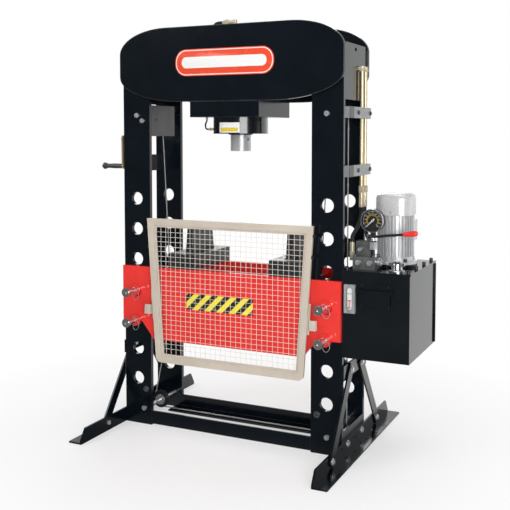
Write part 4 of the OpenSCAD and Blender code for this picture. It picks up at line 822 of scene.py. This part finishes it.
# Dark heads on the crossbar, and black ones on the pipe clamps, the lid and the motor flange
BAR_X, BAR_Z, BAR_WASHER_Y, BAR_HEAD_Y = 0.455, 0.179, -0.160, -0.1602
BAR_HEAD_R, BAR_HEAD_H = 0.0118, 0.0085
CLAMPS_Z = (1.545, 1.285)
CLAMP_HEAD_X, CLAMP_HEAD_R, CLAMP_HEAD_H = 0.6024, 0.0095, 0.0064
LID_TOP, LID_HEAD_R, LID_HEAD_H = 0.848, 0.0083, 0.0132
LID_Y0, LID_LENGTH, LID_HEADS = -0.140, 0.410, 4
FLANGE_TOP, FLANGE_BOLT_R, FLANGE_HEAD_R, FLANGE_HEAD_H = 0.874, 0.0895, 0.0073, 0.0122
bm = bmesh.new()
for s in SIDES:
    washer(bm, (s * BAR_X, BAR_WASHER_Y, BAR_Z), FRONT)
    nut(bm, (s * BAR_X, BAR_HEAD_Y, BAR_Z), FRONT, RIGHT, BAR_HEAD_R, BAR_HEAD_H)
piece("crossbar_hex_heads", "frame", bm, dark_steel)
bm = bmesh.new()
for z in CLAMPS_Z:
    for y in (-0.038, 0.134):
        nut(bm, (CLAMP_HEAD_X, y, z), RIGHT, UP, CLAMP_HEAD_R, CLAMP_HEAD_H)
piece("black_hex_heads", "frame", bm, black_bolt)
bm = bmesh.new()
for x in (0.588, 0.865):
    for i in range(LID_HEADS):
        cap_screw(bm, x, LID_Y0 + LID_LENGTH / (LID_HEADS - 1) * i, LID_TOP,
                  LID_HEAD_R, LID_HEAD_H)
for degrees in (45, 135, 225, 315):
    a = math.radians(degrees)
    cap_screw(bm, MOTOR_X + FLANGE_BOLT_R * math.cos(a), MOTOR_Y + FLANGE_BOLT_R * math.sin(a),
              FLANGE_TOP, FLANGE_HEAD_R, FLANGE_HEAD_H)
piece("black_cap_screws", "frame", bm, black_bolt)

# Black end plates of the pipe clamps
CLAMP_END_X = (0.6022, 0.6034)
CLAMP_END_Y0, CLAMP_END_Y1, CLAMP_END_HALF, CLAMP_END_CORNER = -0.157, -0.100, 0.0255, 0.004
bm = bmesh.new()
for z in CLAMPS_Z:
    outline = pill(CLAMP_END_Y0, CLAMP_END_Y1, z - CLAMP_END_HALF, z + CLAMP_END_HALF,
                   CLAMP_END_CORNER, SMALL_CORNER)
    skin(bm, [[bm.verts.new((x, p, q)) for p, q in outline] for x in CLAMP_END_X])
piece("clamp_ends", "frame", bm, black)

# Plain white and yellow plate on the barrel
barrel_low, barrel_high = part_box("cylinder_barrel")
ram_x = (barrel_low.x + barrel_high.x) / 2
BARREL_R = (barrel_high.x - barrel_low.x) / 2
BARREL_STEPS = 24
BARREL_PLATE_T = 0.0006


def barrel_plate(name, a0, a1, z0, z1, lift, material):
    """Curved plate from angle a0 to a1, in degrees from the front, with its face at lift."""
    bm = bmesh.new()
    rows = []
    for r in (BARREL_R + lift - BARREL_PLATE_T, BARREL_R + lift):
        for z in (z0, z1):
            row = []
            for i in range(BARREL_STEPS + 1):
                a = math.radians(a0 + (a1 - a0) * i / BARREL_STEPS)
                row.append(bm.verts.new((ram_x + r * math.sin(a), -r * math.cos(a), z)))
            rows.append(row)
    inner0, inner1, outer0, outer1 = rows
    for a, b in ((inner0, inner1), (inner1, outer1), (outer1, outer0), (outer0, inner0)):
        for i in range(BARREL_STEPS):
            bm.faces.new((a[i], a[i + 1], b[i + 1], b[i]))
    for k in (0, BARREL_STEPS):
        bm.faces.new((inner0[k], inner1[k], outer1[k], outer0[k]))
    piece(name, "frame", bm, material)


barrel_plate("barrel_plate", -22, 24, 1.4555, 1.5035, 0.0008, badge_white)
barrel_plate("barrel_plate_band", -19, 21, 1.4605, 1.4790, 0.0012, dial_yellow)

# Rope wound on the winch drum, clear of where the lifting rope arrives
DRUM_X, DRUM_Y, DRUM_Z, WIND_R, ROPE_R = -0.542, -0.060, 1.425, 0.0388, 0.0028
WIND_STARTS, WIND_TURNS, WIND_PITCH, WIND_STEPS = (-0.0135, 0.0045), 1.6, 0.0057, 28
bm = bmesh.new()
for first in WIND_STARTS:
    steps = int(WIND_TURNS * WIND_STEPS)
    path = []
    for i in range(steps + 1):
        turns = WIND_TURNS * i / steps
        a = 2 * math.pi * turns
        path.append((DRUM_X + first + WIND_PITCH * turns, DRUM_Y + WIND_R * math.cos(a),
                     DRUM_Z + WIND_R * math.sin(a)))
    tube(bm, path, ROPE_R, RIGHT)
piece("drum_rope", "winch", bm, rope)

# Zinc faces on the pulleys at the floor
PULLEY_FACE = [(0.0088, 0.0003), (0.0260, 0.0003), (0.0260, 0.0014), (0.0246, 0.0020),
               (0.0150, 0.0024), (0.0088, 0.0024), (0.0088, 0.0003)]
for hand in ("left", "right"):
    low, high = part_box(f"pulley_low_{hand}")
    bm = bmesh.new()
    lathe(bm, ((low.x + high.x) / 2, low.y, (low.z + high.z) / 2), FRONT, PULLEY_FACE, 40, False)
    piece(f"pulley_low_{hand}_face", f"low_{hand}_pulley", bm, zinc)

# Folded rear edge of the tank
tank_low, tank_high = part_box("tank")
FOLD_W, FOLD_CORNER, FOLD_EDGE = 0.0075, 0.003, 0.001
FOLD_FOOT, FOLD_TOP, FOLD_NEAR, FOLD_FAR = 0.004, 0.002, 0.008, 0.002
bm = bmesh.new()
slab(bm, pill(tank_high.x, tank_high.x + FOLD_W, tank_low.z + FOLD_FOOT,
              tank_high.z - FOLD_TOP, FOLD_CORNER, SMALL_CORNER),
     tank_high.y - FOLD_NEAR, tank_high.y - FOLD_FAR, FOLD_EDGE)
piece("tank_rear_fold", "frame", bm, black_tank)

# Ferrules on the rope ends
LUG_X, LUG_TOP, LUG_LOW = 0.412, 0.7806, 0.5206
FERRULE = [(0.0035, 0), (0.0055, 0.001), (0.0055, 0.007), (0.0049, 0.008), (0.0055, 0.009),
           (0.0055, 0.014), (0.004, 0.016)]
bm = bmesh.new()
for x, z, up in ((-LUG_X, LUG_TOP, 1), (LUG_X, LUG_TOP, 1), (-LUG_X, LUG_LOW, -1)):
    lathe(bm, (x, 0, z), (0, 0, up), FERRULE, 16)
piece("rope_ferrules", "bed", bm, zinc)

# Crimps on the hose sleeves: place of the lowest one, and how many
SLEEVE_R, CRIMP_R, CRIMP_PITCH = 0.011, 0.0011, 0.011
PIPE_X, PIPE_CRIMP_Z = 0.590, 1.118
CRIMPS = (((PIPE_X, 0.050, PIPE_CRIMP_Z), 4), ((PIPE_X, 0.100, PIPE_CRIMP_Z), 4),
          ((0.588, -0.070, 0.934), 3))
bm = bmesh.new()
for (x, y, z), count in CRIMPS:
    for i in range(count):
        ring(bm, (x, y, z + CRIMP_PITCH * i), UP, SLEEVE_R, CRIMP_R, 24)
piece("hose_crimps", "frame", bm, brass)

# Wiper round the ram
WIPER_DROP, WIPER_R, WIPER_WIRE_R = 0.0010, 0.0548, 0.0042
bm = bmesh.new()
ring(bm, (ram_x, 0, barrel_low.z - WIPER_DROP), UP, WIPER_R, WIPER_WIRE_R, 64, 10)
piece("ram_wiper", "frame", bm, rubber)

# Weld beads along the ribs of the V-blocks, with a slight swell
VEE_TOP, RIB_HALF, BEAD_R, BEAD_OUT = 0.8715, 0.0175, 0.0032, 0.0012
BEAD_Y0, BEAD_LENGTH, BEAD_STEPS = -0.115, 0.230, 92
SWELL, SWELL_STEP = 0.0005, 1.9
bm = bmesh.new()
for x in (-0.234, 0.298):
    for s in SIDES:
        path = []
        for i in range(BEAD_STEPS + 1):
            swell = SWELL * math.sin(i * SWELL_STEP)
            path.append((x + s * (RIB_HALF + BEAD_OUT + swell),
                         BEAD_Y0 + BEAD_LENGTH * i / BEAD_STEPS, VEE_TOP + BEAD_OUT + swell))
        tube(bm, path, BEAD_R, UP)
piece("vee_welds", "bed", bm, cast)


# Stage

FLOOR_SIZE, FLOOR_CELLS = 14, 24
# Floor as the camera sees it: least white, and the distances over which it turns fully white
FADE_LEAST, FADE_NEAR, FADE_FAR = 0.5, 0.7, 1.8
# Floor in reflections: how much darker in front, and the Y over which that ends
DIM_FRONT, DIM_Y0, DIM_Y1 = -0.90, -0.3, 0.9


def floor_material():
    """Pale floor that keeps the shadow near the press and turns white further out."""
    m, t, s = tree("pale_floor")
    s.inputs["Specular IOR Level"].default_value = 0.1
    pale = mix(t, spread(t, noise(t, 3), 0, 1), (0.86, 0.86, 0.86), (0.88, 0.88, 0.88))
    t.links.new(pale, s.inputs["Base Color"])
    t.links.new(spread(t, noise(t, 8), 0.75, 0.85), s.inputs["Roughness"])
    white = t.nodes.new("ShaderNodeEmission")
    coord = t.nodes.new("ShaderNodeTexCoord")
    far = t.nodes.new("ShaderNodeVectorMath")
    far.operation = "LENGTH"
    t.links.new(coord.outputs["Object"], far.inputs[0])
    fade = spread(t, far.outputs["Value"], FADE_LEAST, 1.0, FADE_NEAR, FADE_FAR)
    path = t.nodes.new("ShaderNodeLightPath")
    xyz = t.nodes.new("ShaderNodeSeparateXYZ")
    t.links.new(coord.outputs["Object"], xyz.inputs[0])
    dimmer = spread(t, xyz.outputs["Y"], DIM_FRONT, 0.0, DIM_Y0, DIM_Y1)
    glossy = path.outputs["Is Glossy Ray"]
    strength = math_node(t, "ADD", math_node(t, "MULTIPLY", glossy, dimmer), 1.0)
    t.links.new(strength, white.inputs["Strength"])
    shown = math_node(t, "MULTIPLY", fade, path.outputs["Is Camera Ray"])
    seen = math_node(t, "ADD", shown, glossy)
    blend = t.nodes.new("ShaderNodeMixShader")
    t.links.new(seen, blend.inputs[0])
    t.links.new(s.outputs[0], blend.inputs[1])
    t.links.new(white.outputs[0], blend.inputs[2])
    out = next(n for n in t.nodes if n.type == "OUTPUT_MATERIAL")
    t.links.new(blend.outputs[0], out.inputs[0])
    return m


bm = bmesh.new()
bmesh.ops.create_grid(bm, x_segments=FLOOR_CELLS, y_segments=FLOOR_CELLS, size=FLOOR_SIZE)
mesh = bpy.data.meshes.new("floor")
bm.to_mesh(mesh)
bm.free()
mesh.materials.append(floor_material())
floor = bpy.data.objects.new("floor", mesh)
scene.collection.objects.link(floor)

# World: white for the camera; for reflections dark in front of the press, white behind it and
# dimmer above; even light otherwise
EVEN_LIGHT = 0.42
FRONT_LEVEL, FRONT_Y, BACK_Y = 0.09, 0.0, 0.6
HIGH_LEVEL, LOW_Z, HIGH_Z = 0.35, 0.22, 0.5
world = bpy.data.worlds.new("studio")
scene.world = world
world.use_nodes = True
w = world.node_tree
w.nodes.clear()
w_out = w.nodes.new("ShaderNodeOutputWorld")
w_bg = w.nodes.new("ShaderNodeBackground")
w_bg.inputs["Color"].default_value = (1, 1, 1, 1)
w.links.new(w_bg.outputs[0], w_out.inputs[0])
w_path = w.nodes.new("ShaderNodeLightPath")
w_coord = w.nodes.new("ShaderNodeTexCoord")
w_xyz = w.nodes.new("ShaderNodeSeparateXYZ")
w.links.new(w_coord.outputs["Generated"], w_xyz.inputs[0])
w_back = math_node(w, "MULTIPLY",
                   spread(w, w_xyz.outputs["Y"], FRONT_LEVEL, 1.0, FRONT_Y, BACK_Y),
                   spread(w, w_xyz.outputs["Z"], 1.0, HIGH_LEVEL, LOW_Z, HIGH_Z))
w_seen = math_node(w, "ADD", w_path.outputs["Is Camera Ray"],
                   w_path.outputs["Is Transmission Ray"])
w_glossy = w.nodes.new("ShaderNodeMix")
w_glossy.inputs["A"].default_value = EVEN_LIGHT
w.links.new(w_path.outputs["Is Glossy Ray"], w_glossy.inputs["Factor"])
w.links.new(w_back, w_glossy.inputs["B"])
w_final = w.nodes.new("ShaderNodeMix")
w.links.new(w_seen, w_final.inputs["Factor"])
w.links.new(w_glossy.outputs["Result"], w_final.inputs["A"])
w_final.inputs["B"].default_value = 1.0
w.links.new(w_final.outputs["Result"], w_bg.inputs["Strength"])


def lamp(name, place, aim, size, power):
    """Rectangular soft light at place, turned towards aim."""
    data = bpy.data.lights.new(name, "AREA")
    data.shape = "RECTANGLE"
    data.size, data.size_y = size
    data.energy = power
    o = bpy.data.objects.new(name, data)
    o.location = place
    o.rotation_mode = "QUATERNION"
    o.rotation_quaternion = (Vector(aim) - Vector(place)).to_track_quat("-Z", "Y")
    scene.collection.objects.link(o)


lamp("key", (3.0, -3.9, 1.7), (0, 0, 1.15), (2.7, 2.6), 150)
lamp("fill", (-2.8, -3.2, 3.8), (0, 0, 0.9), (2.0, 2.0), 55)
lamp("top", (0.2, 0.6, 5.0), (0, 0, 1.0), (3.2, 3.2), 65)
lamp("back", (-1.6, 4.4, 3.2), (0, 0, 0.9), (2.4, 2.4), 75)

# Camera, as fitted to the photo
FOCAL_PX, IMAGE_PX, SENSOR_MM = 845.08, 510, 36
PITCH_DOWN, YAW = 3.373, 25.313
cam_data = bpy.data.cameras.new("camera")
cam_data.sensor_width = SENSOR_MM
cam_data.lens = FOCAL_PX / IMAGE_PX * SENSOR_MM
cam_data.shift_y = -0.14
cam = bpy.data.objects.new("camera", cam_data)
cam.location = (1.811069, -3.682173, 1.449811)
cam.rotation_euler = (math.radians(90 - PITCH_DOWN), 0, math.radians(YAW))
scene.collection.objects.link(cam)
scene.camera = cam
scene.view_settings.view_transform = "Standard"
